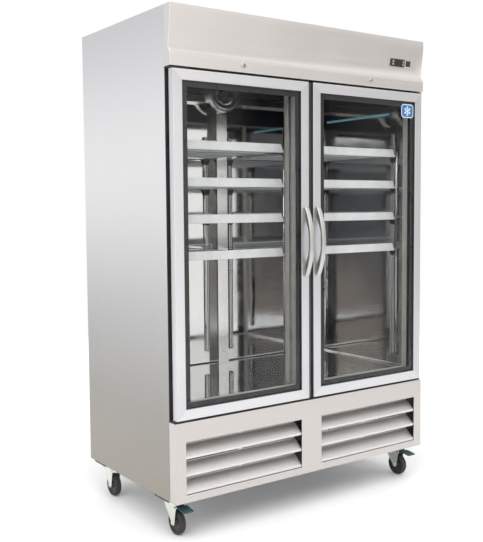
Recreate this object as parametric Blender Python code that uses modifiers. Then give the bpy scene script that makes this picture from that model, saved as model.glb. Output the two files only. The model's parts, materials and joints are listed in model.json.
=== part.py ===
"""Two-section glass door merchandiser: an upright reach-in cooler on four casters.

Metres, +Z up.  The origin is on the floor, below the middle of the whole object.
-Y is the front, with the doors; +X is the right-hand side seen from the front.
"""
from math import atan2, cos, pi, radians, sin

import bmesh
import bpy
from mathutils import Euler, Matrix, Vector

# ---------------------------------------------------------------- driving dimensions
WIDTH = 1.370
HEIGHT = 2.071
BODY_DEPTH = 0.772
HANDLE_REACH = 0.048
BODY_BOTTOM = 0.155
WALL = 0.050
SHEET = 0.0012
GAP = 0.0003

HALF = WIDTH / 2
FRONT = HANDLE_REACH - (BODY_DEPTH + HANDLE_REACH) / 2
BACK = FRONT + BODY_DEPTH
FACE = FRONT + 0.045
SHELL_INNER = HALF - SHEET - GAP

# Lined compartment
INNER_X = HALF - WALL
INNER_BACK = BACK - 0.0515
FLANGE_FRONT = FACE + 0.0015
FLANGE_BACK = FLANGE_FRONT + SHEET
FLOOR = 0.535
CEILING = 2.005
OPENING_TOP = 1.795
DECK_Z = 0.475

# Doors
DOOR_BOTTOM = 0.483
DOOR_TOP = 1.831
DOOR_EDGE_X = 0.675
DOOR_MEET_X = 0.0115
DOOR_THICK = 0.031
FRAME_WIDTH = 0.042
GASKET_WIDTH = 0.020
PIVOT_X = 0.661
PIVOT_Y = FRONT + 0.016
PIVOT_PIN_R = 0.005
GLASS_SETBACK = 0.004
GLASS_THICK = 0.022
PANE = 0.004
SPACER = 0.012
HANDLE_X = 0.0325
HANDLE_Z = 1.1595
HANDLE_LENGTH = 0.295
HANDLE_WIDTH = 0.022

# Header
HEADER_BOTTOM = 1.8396
LEDGE_Z = 1.886
RECESS_BOTTOM = 1.909
RECESS_DEPTH = 0.016
LIP_BOTTOM = 2.035
RECESS_TILT = atan2(RECESS_DEPTH, LIP_BOTTOM - RECESS_BOTTOM)
LOCK_X = 0.348
LOCK_Z = 1.866
CONTROLLER_X = 0.522
CONTROLLER_Z = 1.961
SWITCH_X = 0.592
SWITCH_Z = 1.962

# Lower front panel and louvres
LOUVRE_INNER_X = 0.0555
LOUVRE_OUTER_X = 0.637
LOUVRE_BOTTOM = 0.186
LOUVRE_TOP = 0.396
BLADES = 3

# Shelves
SHELVES = 4
TOP_SHELF = 1.575
SHELF_PITCH = 0.148
SHELF_TOPS = [TOP_SHELF - SHELF_PITCH * level for level in range(SHELVES)]
SHELF_BAYS = 13
LIP_SLANT = 0.014
LIP_INSET_LEFT = 0.002
LIP_INSET_RIGHT = 0.010
SHELF_INNER_X = 0.062
SHELF_OUTER_X = 0.612
SHELF_FRONT = FRONT + 0.0985
SHELF_BACK = FRONT + 0.680
LIP_HEIGHT = 0.036
DECK_DROP = 0.026
WIRE = 0.005
PILASTER_DEPTH = 0.010
PILASTER_WIDTH = 0.020
PILASTER_BOTTOM = 0.594
PILASTER_TOP = 1.650
MULLION_HALF = 0.045
MULLION_BACK = FRONT + 0.130

# Evaporator
FAN_Z = 1.857
FAN_RING_R = 0.088
COVER_FRONT = FRONT + 0.668
COVER_BOTTOM = 1.811
COVER_HALF = 0.580

# Casters
CASTER_X = 0.626
SWIVEL_YS = {"front": FRONT + 0.132, "rear": FRONT + 0.692}
TRAIL = 0.037
WHEEL_R = 0.050
WHEEL_WIDTH = 0.030
CHANNEL_HEIGHT = 0.012
CHANNEL_HALF = 0.055
PEDAL_BACK = 0.057
PEDAL_Z = 0.118

SIDES = {"left": -1, "right": 1}

# ---------------------------------------------------------------- scene and materials
for old in list(bpy.data.objects):
    bpy.data.objects.remove(old)

PARTS = bpy.data.collections.new("glass_door_merchandiser")
CUTTERS = bpy.data.collections.new("cutters")
bpy.context.scene.collection.children.link(PARTS)
bpy.context.scene.collection.children.link(CUTTERS)


def material(name, color, roughness, metallic):
    """Make a Principled material."""
    made = bpy.data.materials.new(name)
    made.use_nodes = True
    shader = made.node_tree.nodes["Principled BSDF"]
    shader.inputs["Base Color"].default_value = (*color, 1)
    shader.inputs["Roughness"].default_value = roughness
    shader.inputs["Metallic"].default_value = metallic
    return made


STAINLESS = material("stainless", (0.78, 0.77, 0.75), 0.32, 1.0)
POLISHED = material("polished_stainless", (0.80, 0.79, 0.78), 0.12, 1.0)
GALVANISED = material("galvanised", (0.62, 0.63, 0.63), 0.45, 1.0)
ALUMINIUM = material("aluminium", (0.82, 0.83, 0.85), 0.30, 1.0)
FOAM = material("foam", (0.86, 0.80, 0.60), 0.90, 0.0)
BLACK = material("black_plastic", (0.03, 0.03, 0.03), 0.45, 0.0)
GLASS = material("glass", (0.75, 0.80, 0.80), 0.05, 0.0)
RUBBER = material("rubber", (0.02, 0.02, 0.02), 0.75, 0.0)
COATED = material("coated_wire", (0.55, 0.57, 0.62), 0.40, 0.3)
ZINC = material("zinc", (0.72, 0.74, 0.70), 0.40, 1.0)
TEAL = material("pedal_paint", (0.03, 0.12, 0.12), 0.45, 0.0)
STEEL_BLACK = material("black_steel", (0.03, 0.03, 0.035), 0.50, 0.2)


# ---------------------------------------------------------------- modelling helpers
def place(mesh, name, mat, collection=None):
    """Link a mesh as an object; the mesh holds world coordinates."""
    made = bpy.data.objects.new(name, mesh)
    made.data.materials.clear()
    if mat:
        made.data.materials.append(mat)
    (collection or PARTS).objects.link(made)
    return made


def box(name, low, high, mat=None, collection=None):
    """A box between two corners."""
    shape = bmesh.new()
    bmesh.ops.create_cube(shape, size=1.0)
    size = Vector(high) - Vector(low)
    middle = (Vector(high) + Vector(low)) / 2
    bmesh.ops.scale(shape, vec=size, verts=shape.verts)
    bmesh.ops.translate(shape, vec=middle, verts=shape.verts)
    return from_bmesh(shape, name, mat, collection)


def from_bmesh(shape, name, mat=None, collection=None):
    """Turn a bmesh into a linked object."""
    mesh = bpy.data.meshes.new(name)
    shape.to_mesh(mesh)
    shape.free()
    return place(mesh, name, mat, collection)


AXIS_TURNS = {"X": Euler((0, pi / 2, 0)), "Y": Euler((pi / 2, 0, 0)), "Z": Euler((0, 0, 0))}


def rod(name, middle, radius, length, axis, mat=None, collection=None, sides=24):
    """A round bar along X, Y or Z."""
    shape = bmesh.new()
    bmesh.ops.create_cone(shape, cap_ends=True, segments=sides, radius1=radius,
                          radius2=radius, depth=length)
    turn = AXIS_TURNS[axis].to_matrix()
    bmesh.ops.rotate(shape, cent=(0, 0, 0), matrix=turn, verts=shape.verts)
    bmesh.ops.translate(shape, vec=middle, verts=shape.verts)
    return from_bmesh(shape, name, mat, collection)


PLANE_TURNS = {
    "XZ": Euler((pi / 2, 0, 0)),
    "YZ": Euler((pi / 2, 0, pi / 2)),
    "XY": Euler((0, 0, 0)),
}
PLANE_NORMALS = {"XZ": Vector((0, 1, 0)), "YZ": Vector((1, 0, 0)), "XY": Vector((0, 0, 1))}


def plate(name, loops, plane, start, end, mat=None, collection=None):
    """Flat outlines in a plane, the first one outside and the rest holes, as a mesh.

    The plate reaches from start to end along the plane's third axis.
    """
    curve = bpy.data.curves.new(name, "CURVE")
    curve.dimensions = "2D"
    curve.fill_mode = "BOTH"
    curve.extrude = (end - start) / 2
    for loop in loops:
        spline = curve.splines.new("POLY")
        spline.points.add(len(loop) - 1)
        for point, (across, up) in zip(spline.points, loop):
            point.co = (across, up, 0, 1)
        spline.use_cyclic_u = True
    flat = bpy.data.objects.new(name, curve)
    bpy.context.scene.collection.objects.link(flat)
    flat.rotation_euler = PLANE_TURNS[plane]
    flat.location = PLANE_NORMALS[plane] * (start + end) / 2
    return as_mesh(flat, name, mat, collection)


def as_mesh(source, name, mat=None, collection=None):
    """Replace an object with a mesh of its evaluated shape, in world coordinates."""
    bpy.context.view_layer.update()
    evaluated = source.evaluated_get(bpy.context.evaluated_depsgraph_get())
    mesh = bpy.data.meshes.new_from_object(evaluated)
    mesh.transform(source.matrix_world)
    shape = bmesh.new()
    shape.from_mesh(mesh)
    bmesh.ops.remove_doubles(shape, verts=shape.verts, dist=0.000001)
    bmesh.ops.recalc_face_normals(shape, faces=shape.faces)
    shape.to_mesh(mesh)
    shape.free()
    bpy.data.objects.remove(source)
    mesh.name = name
    made = place(mesh, name, mat, collection)
    made.name = name
    return made


def turned(name, profile, axis, middle, mat=None, collection=None, steps=32, closed=False):
    """Turn a profile of (along, radius) points about an axis through a point."""
    index = "XYZ".index(axis)
    out = (index + 2) % 3 if axis != "Z" else 0
    shape = bmesh.new()
    points = []
    for along, radius in profile:
        spot = Vector((0, 0, 0))
        spot[index] = along
        spot[out] = radius
        points.append(shape.verts.new(spot))
    for first, second in zip(points, points[1:]):
        shape.edges.new((first, second))
    if closed:
        shape.edges.new((points[-1], points[0]))
    outline = from_bmesh(shape, name, None, CUTTERS)
    screw = outline.modifiers.new("turn", "SCREW")
    screw.axis = axis
    screw.steps = steps
    screw.render_steps = steps
    screw.use_merge_vertices = True
    screw.merge_threshold = 0.00001
    outline.location = middle
    return as_mesh(outline, name, mat, collection)


def hide_cutter(tool):
    """Mark a cutter, which is not a piece of the object."""
    tool.hide_render = True
    tool.display_type = "WIRE"
    for owner in list(tool.users_collection):
        owner.objects.unlink(tool)
    CUTTERS.objects.link(tool)


def combine(target, operation, tools):
    """Add one Boolean modifier for each tool."""
    for tool in tools:
        hide_cutter(tool)
        step = target.modifiers.new(operation.lower(), "BOOLEAN")
        step.operation = operation
        step.solver = "EXACT"
        step.object = tool
    return target


def cut(target, *tools):
    """Take the tools' shapes away from the target."""
    return combine(target, "DIFFERENCE", tools)


def unite(target, *tools):
    """Weld the tools' shapes to the target."""
    return combine(target, "UNION", tools)


def solidify(target, thickness=SHEET):
    """Give an open sheet its thickness, inward."""
    step = target.modifiers.new("sheet", "SOLIDIFY")
    step.thickness = thickness
    step.offset = -1
    step.use_even_offset = True
    return target


def open_side(target, direction):
    """Delete the faces of a closed shape that look in one direction."""
    shape = bmesh.new()
    shape.from_mesh(target.data)
    facing = [face for face in shape.faces if face.normal.dot(Vector(direction)) > 0.999]
    bmesh.ops.delete(shape, geom=facing, context="FACES")
    shape.to_mesh(target.data)
    shape.free()
    return target


def settle(source, mat):
    """Apply an object's modifiers, keeping its name."""
    name = source.name
    source.name = name + "_draft"
    return as_mesh(source, name, mat)


def set_origin(target, point):
    """Move an object's origin without moving its shape."""
    target.data.transform(Matrix.Translation(-Vector(point)))
    target.location = point
    return target


def pivot(name, point):
    """An empty on a joint's axis."""
    made = bpy.data.objects.new(name, None)
    made.empty_display_size = 0.03
    made.location = point
    PARTS.objects.link(made)
    return made


def hang_on(parent, *children):
    """Parent pieces to an empty, keeping them in place."""
    for child in children:
        child.parent = parent
        child.location = child.location - parent.location


def smooth(target, angle=30):
    """Shade round faces smooth."""
    target.data.shade_smooth()
    target.data.set_sharp_from_angle(angle=radians(angle))
    return target


def rectangle(low, high):
    """Corners of a rectangle, anticlockwise."""
    return [(low[0], low[1]), (high[0], low[1]), (high[0], high[1]), (low[0], high[1])]


def arc(middle, radius, start, end, steps):
    """Points along an arc, angles in degrees."""
    points = []
    for step in range(steps + 1):
        angle = radians(start + (end - start) * step / steps)
        points.append((middle[0] + radius * cos(angle), middle[1] + radius * sin(angle)))
    return points


# ---------------------------------------------------------------- cabinet
def make_outer_shell():
    """Side sheets, top sheet and the deck below the lined compartment, in one wrap."""
    radius = 0.003
    outline = [(HALF, BODY_BOTTOM)]
    outline += arc((HALF - radius, HEIGHT - radius), radius, 0, 90, 3)
    outline += arc((radius - HALF, HEIGHT - radius), radius, 90, 180, 3)
    outline += [(-HALF, BODY_BOTTOM), (SHEET - HALF, BODY_BOTTOM), (SHEET - HALF, DECK_Z)]
    outline += [(HALF - SHEET, DECK_Z), (HALF - SHEET, BODY_BOTTOM)]
    hollow = rectangle((SHEET - HALF, DECK_Z + SHEET), (HALF - SHEET, HEIGHT - SHEET))
    return plate("outer_shell", [outline, hollow], "XZ", FACE, BACK - SHEET - GAP, STAINLESS)


def make_back_panel():
    """Rear sheet with two banks of cooling slots behind the machine compartment."""
    loops = [rectangle((-HALF, BODY_BOTTOM), (HALF, HEIGHT - 0.0005))]
    for middle in (-0.30, 0.30):
        for row in range(7):
            low = 0.215 + 0.030 * row
            loops.append(rectangle((middle - 0.17, low), (middle + 0.17, low + 0.012)))
    return plate("back_panel", loops, "XZ", BACK - SHEET, BACK, STAINLESS)


def make_base_pan():
    """Floor of the machine compartment, with a turned-up edge front and back."""
    front = FACE + 0.002
    back = BACK - SHEET - GAP
    rise = BODY_BOTTOM + 0.028
    outline = [(front, BODY_BOTTOM), (back, BODY_BOTTOM), (back, rise), (back - SHEET, rise)]
    outline += [(back - SHEET, BODY_BOTTOM + SHEET), (front + SHEET, BODY_BOTTOM + SHEET)]
    outline += [(front + SHEET, rise), (front, rise)]
    return plate("base_pan", [outline], "YZ", -SHELL_INNER, SHELL_INNER, GALVANISED)


def make_liner():
    """Stainless inner box with a ceiling above the door opening, and its face flange."""
    inner = box("inner_liner", (-INNER_X - SHEET, FLANGE_FRONT + SHEET / 2, FLOOR - SHEET),
                (INNER_X + SHEET, INNER_BACK + SHEET, CEILING + SHEET), POLISHED)
    flange = box("liner_flange", (-SHELL_INNER, FLANGE_FRONT, DECK_Z + SHEET + GAP),
                 (SHELL_INNER, FLANGE_BACK, HEIGHT - SHEET - GAP))
    hollow = [(FRONT, FLOOR), (INNER_BACK, FLOOR), (INNER_BACK, CEILING),
              (FLANGE_BACK, CEILING), (FLANGE_BACK, OPENING_TOP), (FRONT, OPENING_TOP)]
    unite(inner, flange)
    cut(inner, plate("liner_hollow", [hollow], "YZ", -INNER_X, INNER_X))
    return settle(inner, POLISHED)


def make_insulation():
    """Foam between the outer shell and the liner."""
    around = SHEET + GAP
    foam = box("insulation_foam", (-SHELL_INNER, FLANGE_BACK + GAP, DECK_Z + around),
               (SHELL_INNER, BACK - around, HEIGHT - around), FOAM)
    hollow = box("foam_hollow", (-INNER_X - around, FRONT, FLOOR - around),
                 (INNER_X + around, INNER_BACK + around, CEILING + around))
    cut(foam, hollow)
    return settle(foam, FOAM)


def make_mullion():
    """Hollow centre post that both doors seal on."""
    wall = 0.002
    loops = [rectangle((-MULLION_HALF, FLANGE_FRONT), (MULLION_HALF, MULLION_BACK)),
             rectangle((wall - MULLION_HALF, FLANGE_FRONT + wall),
                       (MULLION_HALF - wall, MULLION_BACK - wall))]
    return plate("center_mullion", loops, "XY", FLOOR + GAP, OPENING_TOP - GAP, STAINLESS)


def make_lower_panel():
    """Front pan of the machine compartment, with two louvre openings."""
    panel = box("lower_front_panel", (-HALF, FRONT, BODY_BOTTOM), (HALF, FACE - GAP, DECK_Z),
                STAINLESS)
    solidify(open_side(panel, (0, 1, 0)))
    for side in SIDES.values():
        inner, outer = sorted((side * LOUVRE_INNER_X, side * LOUVRE_OUTER_X))
        cut(panel, box("louvre_opening", (inner, FRONT - 0.01, LOUVRE_BOTTOM),
                       (outer, FRONT + 0.01, LOUVRE_TOP)))
    return settle(panel, STAINLESS)


def blade_outline(low):
    """Side view of one louvre blade: a front fold, a slope up and back, a rear fold."""
    thick = 0.0015
    front = FRONT + 0.003
    back = FRONT + 0.048
    high = low + 0.044
    lower = [(front, low), (front + thick, low), (front + thick, low + 0.008)]
    lower += [(back, high), (back, high + 0.006)]
    upper = [(back - thick, high + 0.006), (back - thick, high + thick)]
    upper += [(front, low + 0.008 + thick)]
    return lower + upper


def make_louvre(side_name):
    """Three downward blades tied together by uprights behind them."""
    side = SIDES[side_name]
    clear = 0.0005
    start, end = sorted((side * (LOUVRE_INNER_X + clear), side * (LOUVRE_OUTER_X - clear)))
    pitch = (LOUVRE_TOP - LOUVRE_BOTTOM) / BLADES
    blades = [plate("louvre_blade", [blade_outline(LOUVRE_BOTTOM + 0.002 + pitch * row)],
                    "YZ", start, end) for row in range(BLADES)]
    name = "louvre_" + side_name
    upright_low = LOUVRE_BOTTOM + 0.030
    upright_high = LOUVRE_TOP - 0.008
    first = None
    for middle in (start + 0.012, (start + end) / 2, end - 0.012):
        bar = box("louvre_upright", (middle - 0.008, FRONT + 0.0475, upright_low),
                  (middle + 0.008, FRONT + 0.0505, upright_high))
        if first is None:
            first = bar
        else:
            blades.append(bar)
    unite(first, *blades)
    first.name = name
    return settle(first, STAINLESS)


def make_header():
    """Header cover: lock strip, sloping ledge, recessed face leaning out, top lip."""
    back = FACE - GAP
    outline = [(FRONT, HEADER_BOTTOM), (back, HEADER_BOTTOM), (back, HEIGHT), (FRONT, HEIGHT),
               (FRONT, LIP_BOTTOM), (FRONT + RECESS_DEPTH, RECESS_BOTTOM), (FRONT, LEDGE_Z)]
    header = plate("header_canopy", [outline], "YZ", -HALF, HALF, STAINLESS)
    solidify(open_side(header, (0, 1, 0)))
    for side in SIDES.values():
        cut(header, rod("lock_hole", (side * LOCK_X, FRONT, LOCK_Z), 0.0084, 0.02, "Y"))
    cut(header, on_recess(box("controller_hole", (-0.0375, -0.02, -0.0145),
                              (0.0375, 0.02, 0.0145)), CONTROLLER_X, CONTROLLER_Z))
    cut(header, on_recess(box("switch_hole", (-0.0115, -0.02, -0.0100),
                              (0.0115, 0.02, 0.0100)), SWITCH_X, SWITCH_Z))
    return settle(header, STAINLESS)


def recess_y(height):
    """Y of the recessed face at a height."""
    share = (LIP_BOTTOM - height) / (LIP_BOTTOM - RECESS_BOTTOM)
    return FRONT + RECESS_DEPTH * share


def on_recess(target, across, height):
    """Lean a shape that was made about the origin onto the recessed face."""
    lean = Matrix.Rotation(RECESS_TILT, 4, "X")
    spot = Matrix.Translation((across, recess_y(height), height))
    target.data.transform(spot @ lean)
    return target


def make_controller():
    """Temperature controller: a bezel on the recessed face and its body behind."""
    bezel = box("controller", (-0.0435, -0.0045, -0.0170), (0.0435, -GAP, 0.0170), BLACK)
    body = box("controller_body", (-0.0370, -0.0040, -0.0140), (0.0370, 0.0240, 0.0140))
    unite(on_recess(bezel, CONTROLLER_X, CONTROLLER_Z),
          on_recess(body, CONTROLLER_X, CONTROLLER_Z))
    return settle(bezel, BLACK)


def make_switch():
    """Rocker of the light switch, on a pivot across the panel."""
    hub = rod("rocker_switch", (0, 0.004, 0), 0.0060, 0.021, "X", BLACK, sides=16)
    outline = [(-0.0060, -0.0085), (-0.0030, 0.0), (-0.0015, 0.0085), (0.0045, 0.0085),
               (0.0045, -0.0085)]
    paddle = plate("rocker_paddle", [outline], "YZ", -0.0105, 0.0105)
    unite(on_recess(hub, SWITCH_X, SWITCH_Z), on_recess(paddle, SWITCH_X, SWITCH_Z))
    return set_origin(settle(hub, BLACK), switch_axis())


def switch_axis():
    """A point on the rocker's pivot."""
    lean = Matrix.Rotation(RECESS_TILT, 4, "X")
    return Vector((SWITCH_X, recess_y(SWITCH_Z), SWITCH_Z)) + lean @ Vector((0, 0.004, 0))


def make_lock(side_name):
    """Key lock: a flanged barrel through the lock strip, with a cam behind."""
    across = SIDES[side_name] * LOCK_X
    profile = [(-0.0035, 0.0), (-0.0035, 0.0095), (-0.0020, 0.0110), (-GAP, 0.0110),
               (-GAP, 0.0080), (0.0250, 0.0080), (0.0250, 0.0)]
    barrel = turned("lock_" + side_name, profile, "Y", (across, FRONT, LOCK_Z), ZINC)
    cam = box("lock_cam", (across - 0.006, FRONT + 0.0240, LOCK_Z - 0.006),
              (across + 0.022, FRONT + 0.0270, LOCK_Z + 0.006))
    unite(barrel, cam)
    return set_origin(settle(barrel, ZINC), (across, FRONT, LOCK_Z))


# ---------------------------------------------------------------- shelving
def make_shelf(name):
    """Wire shelf about the middle of its front edge, with a ticket lip and a rear rim."""
    width = SHELF_OUTER_X - SHELF_INNER_X
    depth = SHELF_BACK - SHELF_FRONT
    half = width / 2
    pitch = (width - WIRE) / SHELF_BAYS
    deck = box(name, (-half, 0.001, -DECK_DROP - WIRE), (half, depth, -DECK_DROP), COATED)
    slots = box("shelf_slots", (WIRE - half, 0.012, -0.050),
                (pitch - half, depth - 0.012, -0.010))
    repeat = slots.modifiers.new("repeat", "ARRAY")
    repeat.count = SHELF_BAYS
    repeat.use_relative_offset = False
    repeat.use_constant_offset = True
    repeat.constant_offset_displace = (pitch, 0, 0)
    deck = settle(cut(deck, slots), COATED)
    left = LIP_INSET_LEFT - half
    right = half - LIP_INSET_RIGHT
    lip = [(left, -LIP_HEIGHT), (right, -LIP_HEIGHT), (right - LIP_SLANT, 0),
           (left + LIP_SLANT, 0)]
    rim = [(0.002 - half, -DECK_DROP - 0.001), (WIRE + 0.002 - half, -DECK_DROP - 0.001),
           (WIRE + 0.002 - half, -WIRE), (half - WIRE - 0.002, -WIRE),
           (half - WIRE - 0.002, -DECK_DROP - 0.001), (half - 0.002, -DECK_DROP - 0.001),
           (half - 0.002, 0), (0.002 - half, 0)]
    unite(deck, plate("shelf_lip", [lip], "XZ", 0.0, 0.002),
          plate("shelf_rim", [rim], "XZ", depth - WIRE, depth - 0.0002))
    return settle(deck, COATED)


def make_shelves():
    """Four shelves in each section, all from one mesh."""
    pattern = None
    middle = (SHELF_INNER_X + SHELF_OUTER_X) / 2
    for side_name, side in SIDES.items():
        for level, top in enumerate(SHELF_TOPS, start=1):
            name = f"shelf_{side_name}_{level}"
            if pattern is None:
                pattern = make_shelf(name)
                made = pattern
            else:
                made = bpy.data.objects.new(name, pattern.data)
                PARTS.objects.link(made)
            made.location = (side * middle, SHELF_FRONT, top)


def clip_strip(wall, toward, reach):
    """Outline of a pilaster with a bracket tooth below each shelf.

    wall is the coordinate of the surface it lies on and toward is +1 or -1, the way
    that it stands out.
    """
    face = wall + toward * PILASTER_DEPTH
    tip = wall + toward * reach
    outline = [(wall, PILASTER_BOTTOM), (face, PILASTER_BOTTOM)]
    for top in reversed(SHELF_TOPS):
        seat = top - DECK_DROP - WIRE - GAP
        outline += [(face, seat - 0.022), (tip, seat - 0.006), (tip, seat), (face, seat)]
    outline += [(face, PILASTER_TOP), (wall, PILASTER_TOP)]
    return outline


def make_pilasters():
    """Slotted strips with their shelf brackets: side walls, back wall and mullion."""
    half = PILASTER_WIDTH / 2
    for side_name, side in SIDES.items():
        wall = side * (INNER_X - GAP)
        outline = clip_strip(wall, -side, 0.035)
        for place_name, middle in (("front", FRONT + 0.135), ("rear", FRONT + 0.640)):
            plate(f"pilaster_{place_name}_{side_name}", [outline], "XZ", middle - half,
                  middle + half, STAINLESS)
        across = side * 0.070
        plate(f"pilaster_rear_center_{side_name}", [clip_strip(INNER_BACK - GAP, -1, 0.050)],
              "YZ", across - half, across + half, STAINLESS)
    near = MULLION_BACK + GAP
    strip = box("pilaster_front_center", (-MULLION_HALF - 0.010, near, PILASTER_BOTTOM),
                (MULLION_HALF + 0.010, near + 0.006, PILASTER_TOP), STAINLESS)
    for top in SHELF_TOPS:
        seat = top - DECK_DROP - WIRE - GAP
        reach = SHELF_INNER_X + 0.016
        low = MULLION_HALF
        outline = [(-reach, seat), (-reach, seat - 0.006), (-low, seat - 0.022),
                   (low, seat - 0.022), (reach, seat - 0.006), (reach, seat)]
        unite(strip, plate("center_bracket", [outline], "XZ", near + 0.001, near + 0.018))
    settle(strip, STAINLESS)


# ---------------------------------------------------------------- cooling system
def fan_wheel(name, middle, radius, mat, blades=5):
    """Axial fan: a hub and twisted blades, turning about Y."""
    hub_r = 0.020
    profile = [(-0.010, 0.0), (-0.010, hub_r - 0.003), (-0.007, hub_r), (0.010, hub_r),
               (0.010, 0.0)]
    hub = turned(name, profile, "Y", middle, mat, steps=20)
    for blade in range(blades):
        wing = box("fan_blade", (hub_r - 0.004, -0.0012, -0.018), (radius, 0.0012, 0.018))
        twist = Matrix.Rotation(radians(32), 4, "X")
        spin = Matrix.Rotation(2 * pi * blade / blades, 4, "Y")
        wing.data.transform(Matrix.Translation(middle) @ spin @ twist)
        unite(hub, wing)
    return set_origin(settle(hub, mat), middle)


def fin_pack(name, low, high, fins, back_bar, mat):
    """Finned coil block: a rear header sheet with fins standing forward from it."""
    pitch = (high[0] - low[0]) / fins
    outline = [(low[0], high[1]), (low[0], low[1])]
    fin = pitch * 0.35
    for count in range(fins):
        left = low[0] + pitch * count
        outline += [(left + fin, low[1]), (left + fin, high[1] - back_bar)]
        if count < fins - 1:
            outline += [(left + pitch, high[1] - back_bar), (left + pitch, low[1])]
    outline += [(high[0], high[1] - back_bar), (high[0], high[1])]
    return plate(name, [outline], "XY", low[2], high[2], mat)


def make_evaporator():
    """Cover with its fan ring, the coil behind it and the fan in the ring."""
    cover = box("evaporator_cover", (-COVER_HALF, COVER_FRONT, COVER_BOTTOM),
                (COVER_HALF, INNER_BACK - GAP, CEILING - GAP), STAINLESS)
    solidify(open_side(cover, (0, 1, 0)))
    ring_profile = [(-0.028, FAN_RING_R), (0.0008, FAN_RING_R), (0.0008, 0.080),
                    (-0.028, 0.080)]
    ring = turned("fan_ring", ring_profile, "Y", (0, COVER_FRONT, FAN_Z), steps=40, closed=True)
    unite(cover, ring)
    cut(cover, rod("fan_hole", (0, COVER_FRONT, FAN_Z), 0.0795, 0.012, "Y", sides=40))
    for side in SIDES.values():
        inner, outer = sorted((side * 0.105, side * 0.560))
        cut(cover, box("air_slot", (inner, COVER_FRONT - 0.01, 1.842),
                       (outer, COVER_FRONT + 0.01, 1.853)))
    settle(cover, STAINLESS)
    fin_pack("evaporator_coil", (-0.520, COVER_FRONT + 0.012, 1.830),
             (0.520, INNER_BACK - 0.002, 1.990), 26, 0.006, ALUMINIUM)
    fan_wheel("evaporator_fan", (0, COVER_FRONT - 0.0135, FAN_Z), 0.074, BLACK)


def make_rear_duct():
    """Channel up the middle of the back wall, from the floor to the evaporator cover."""
    half = 0.030
    wall = 0.0015
    front = FRONT + 0.677
    back = INNER_BACK - GAP
    outline = [(-half, back), (-half, front), (half, front), (half, back), (half - wall, back),
               (half - wall, front + wall), (wall - half, front + wall), (wall - half, back)]
    return plate("rear_duct", [outline], "XY", FLOOR + GAP, COVER_BOTTOM - 0.001, STAINLESS)


def make_machine_compartment():
    """Compressor, condenser and its fan, standing on the base pan."""
    base = BODY_BOTTOM + SHEET + GAP
    spot = Vector((-0.26, 0.13, base))
    pot = [(0.006, 0.0), (0.010, 0.045), (0.022, 0.066), (0.040, 0.075), (0.110, 0.076),
           (0.118, 0.080), (0.126, 0.080), (0.130, 0.075), (0.165, 0.068), (0.185, 0.048),
           (0.194, 0.0)]
    shell = turned("compressor", pot, "Z", spot, STEEL_BLACK, steps=32)
    foot = box("compressor_foot", spot + Vector((-0.095, -0.070, 0)),
               spot + Vector((0.095, 0.070, 0.012)))
    terminal = box("terminal_box", spot + Vector((0.060, -0.030, 0.060)),
                   spot + Vector((0.105, 0.030, 0.120)))
    unite(shell, foot, terminal)
    settle(shell, STEEL_BLACK)
    fin_pack("condenser_coil", (0.150, FRONT + 0.120, base), (0.530, FRONT + 0.180, 0.420), 19,
             0.012, ALUMINIUM)
    fan_wheel("condenser_fan", (0.340, FRONT + 0.215, 0.290), 0.105, BLACK)


# ---------------------------------------------------------------- doors
def make_hinge_bracket(side_name, level):
    """Plate against the cabinet's face with the pin that the door turns on."""
    side = SIDES[side_name]
    pin_spot = (side * PIVOT_X, PIVOT_Y)
    inner, outer = sorted((side * 0.600, side * 0.681))
    if level == "top":
        low = DOOR_TOP + 0.0025
        pin_low, pin_high = DOOR_TOP - 0.012, low + 0.002
    else:
        low = DECK_Z + 0.002
        pin_low, pin_high = low + 0.003, DOOR_BOTTOM + 0.012
    bracket = box(f"hinge_bracket_{level}_{side_name}", (inner, FRONT + 0.006, low),
                  (outer, FLANGE_FRONT - GAP, low + 0.004), STAINLESS)
    pin = rod("hinge_pin", (*pin_spot, (pin_low + pin_high) / 2), PIVOT_PIN_R,
              pin_high - pin_low, "Z")
    unite(bracket, pin)
    return settle(bracket, STAINLESS)


def handle_outline():
    """Side view of the bow handle: foot blocks joined by an outer and an inner arc."""
    half = HANDLE_LENGTH / 2
    opening = half - 0.042
    root = FRONT - GAP
    rise = HANDLE_REACH - 0.012
    outer_r = (half * half + rise * rise) / (2 * rise)
    inner_rise = HANDLE_REACH - 0.0125
    inner_r = (opening * opening + inner_rise * inner_rise) / (2 * inner_rise)
    points = [(root, HANDLE_Z - half), (root, HANDLE_Z - opening)]
    steps = 14
    for step in range(1, steps):
        up = -opening + 2 * opening * step / steps
        out = (inner_r * inner_r - up * up) ** 0.5 - (inner_r - inner_rise)
        points.append((root - out, HANDLE_Z + up))
    points += [(root, HANDLE_Z + opening), (root, HANDLE_Z + half)]
    steps = 18
    for step in range(steps + 1):
        up = half - 2 * half * step / steps
        out = (outer_r * outer_r - up * up) ** 0.5 - (outer_r - rise)
        points.append((FRONT - 0.012 - out, HANDLE_Z + up))
    return points


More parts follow.
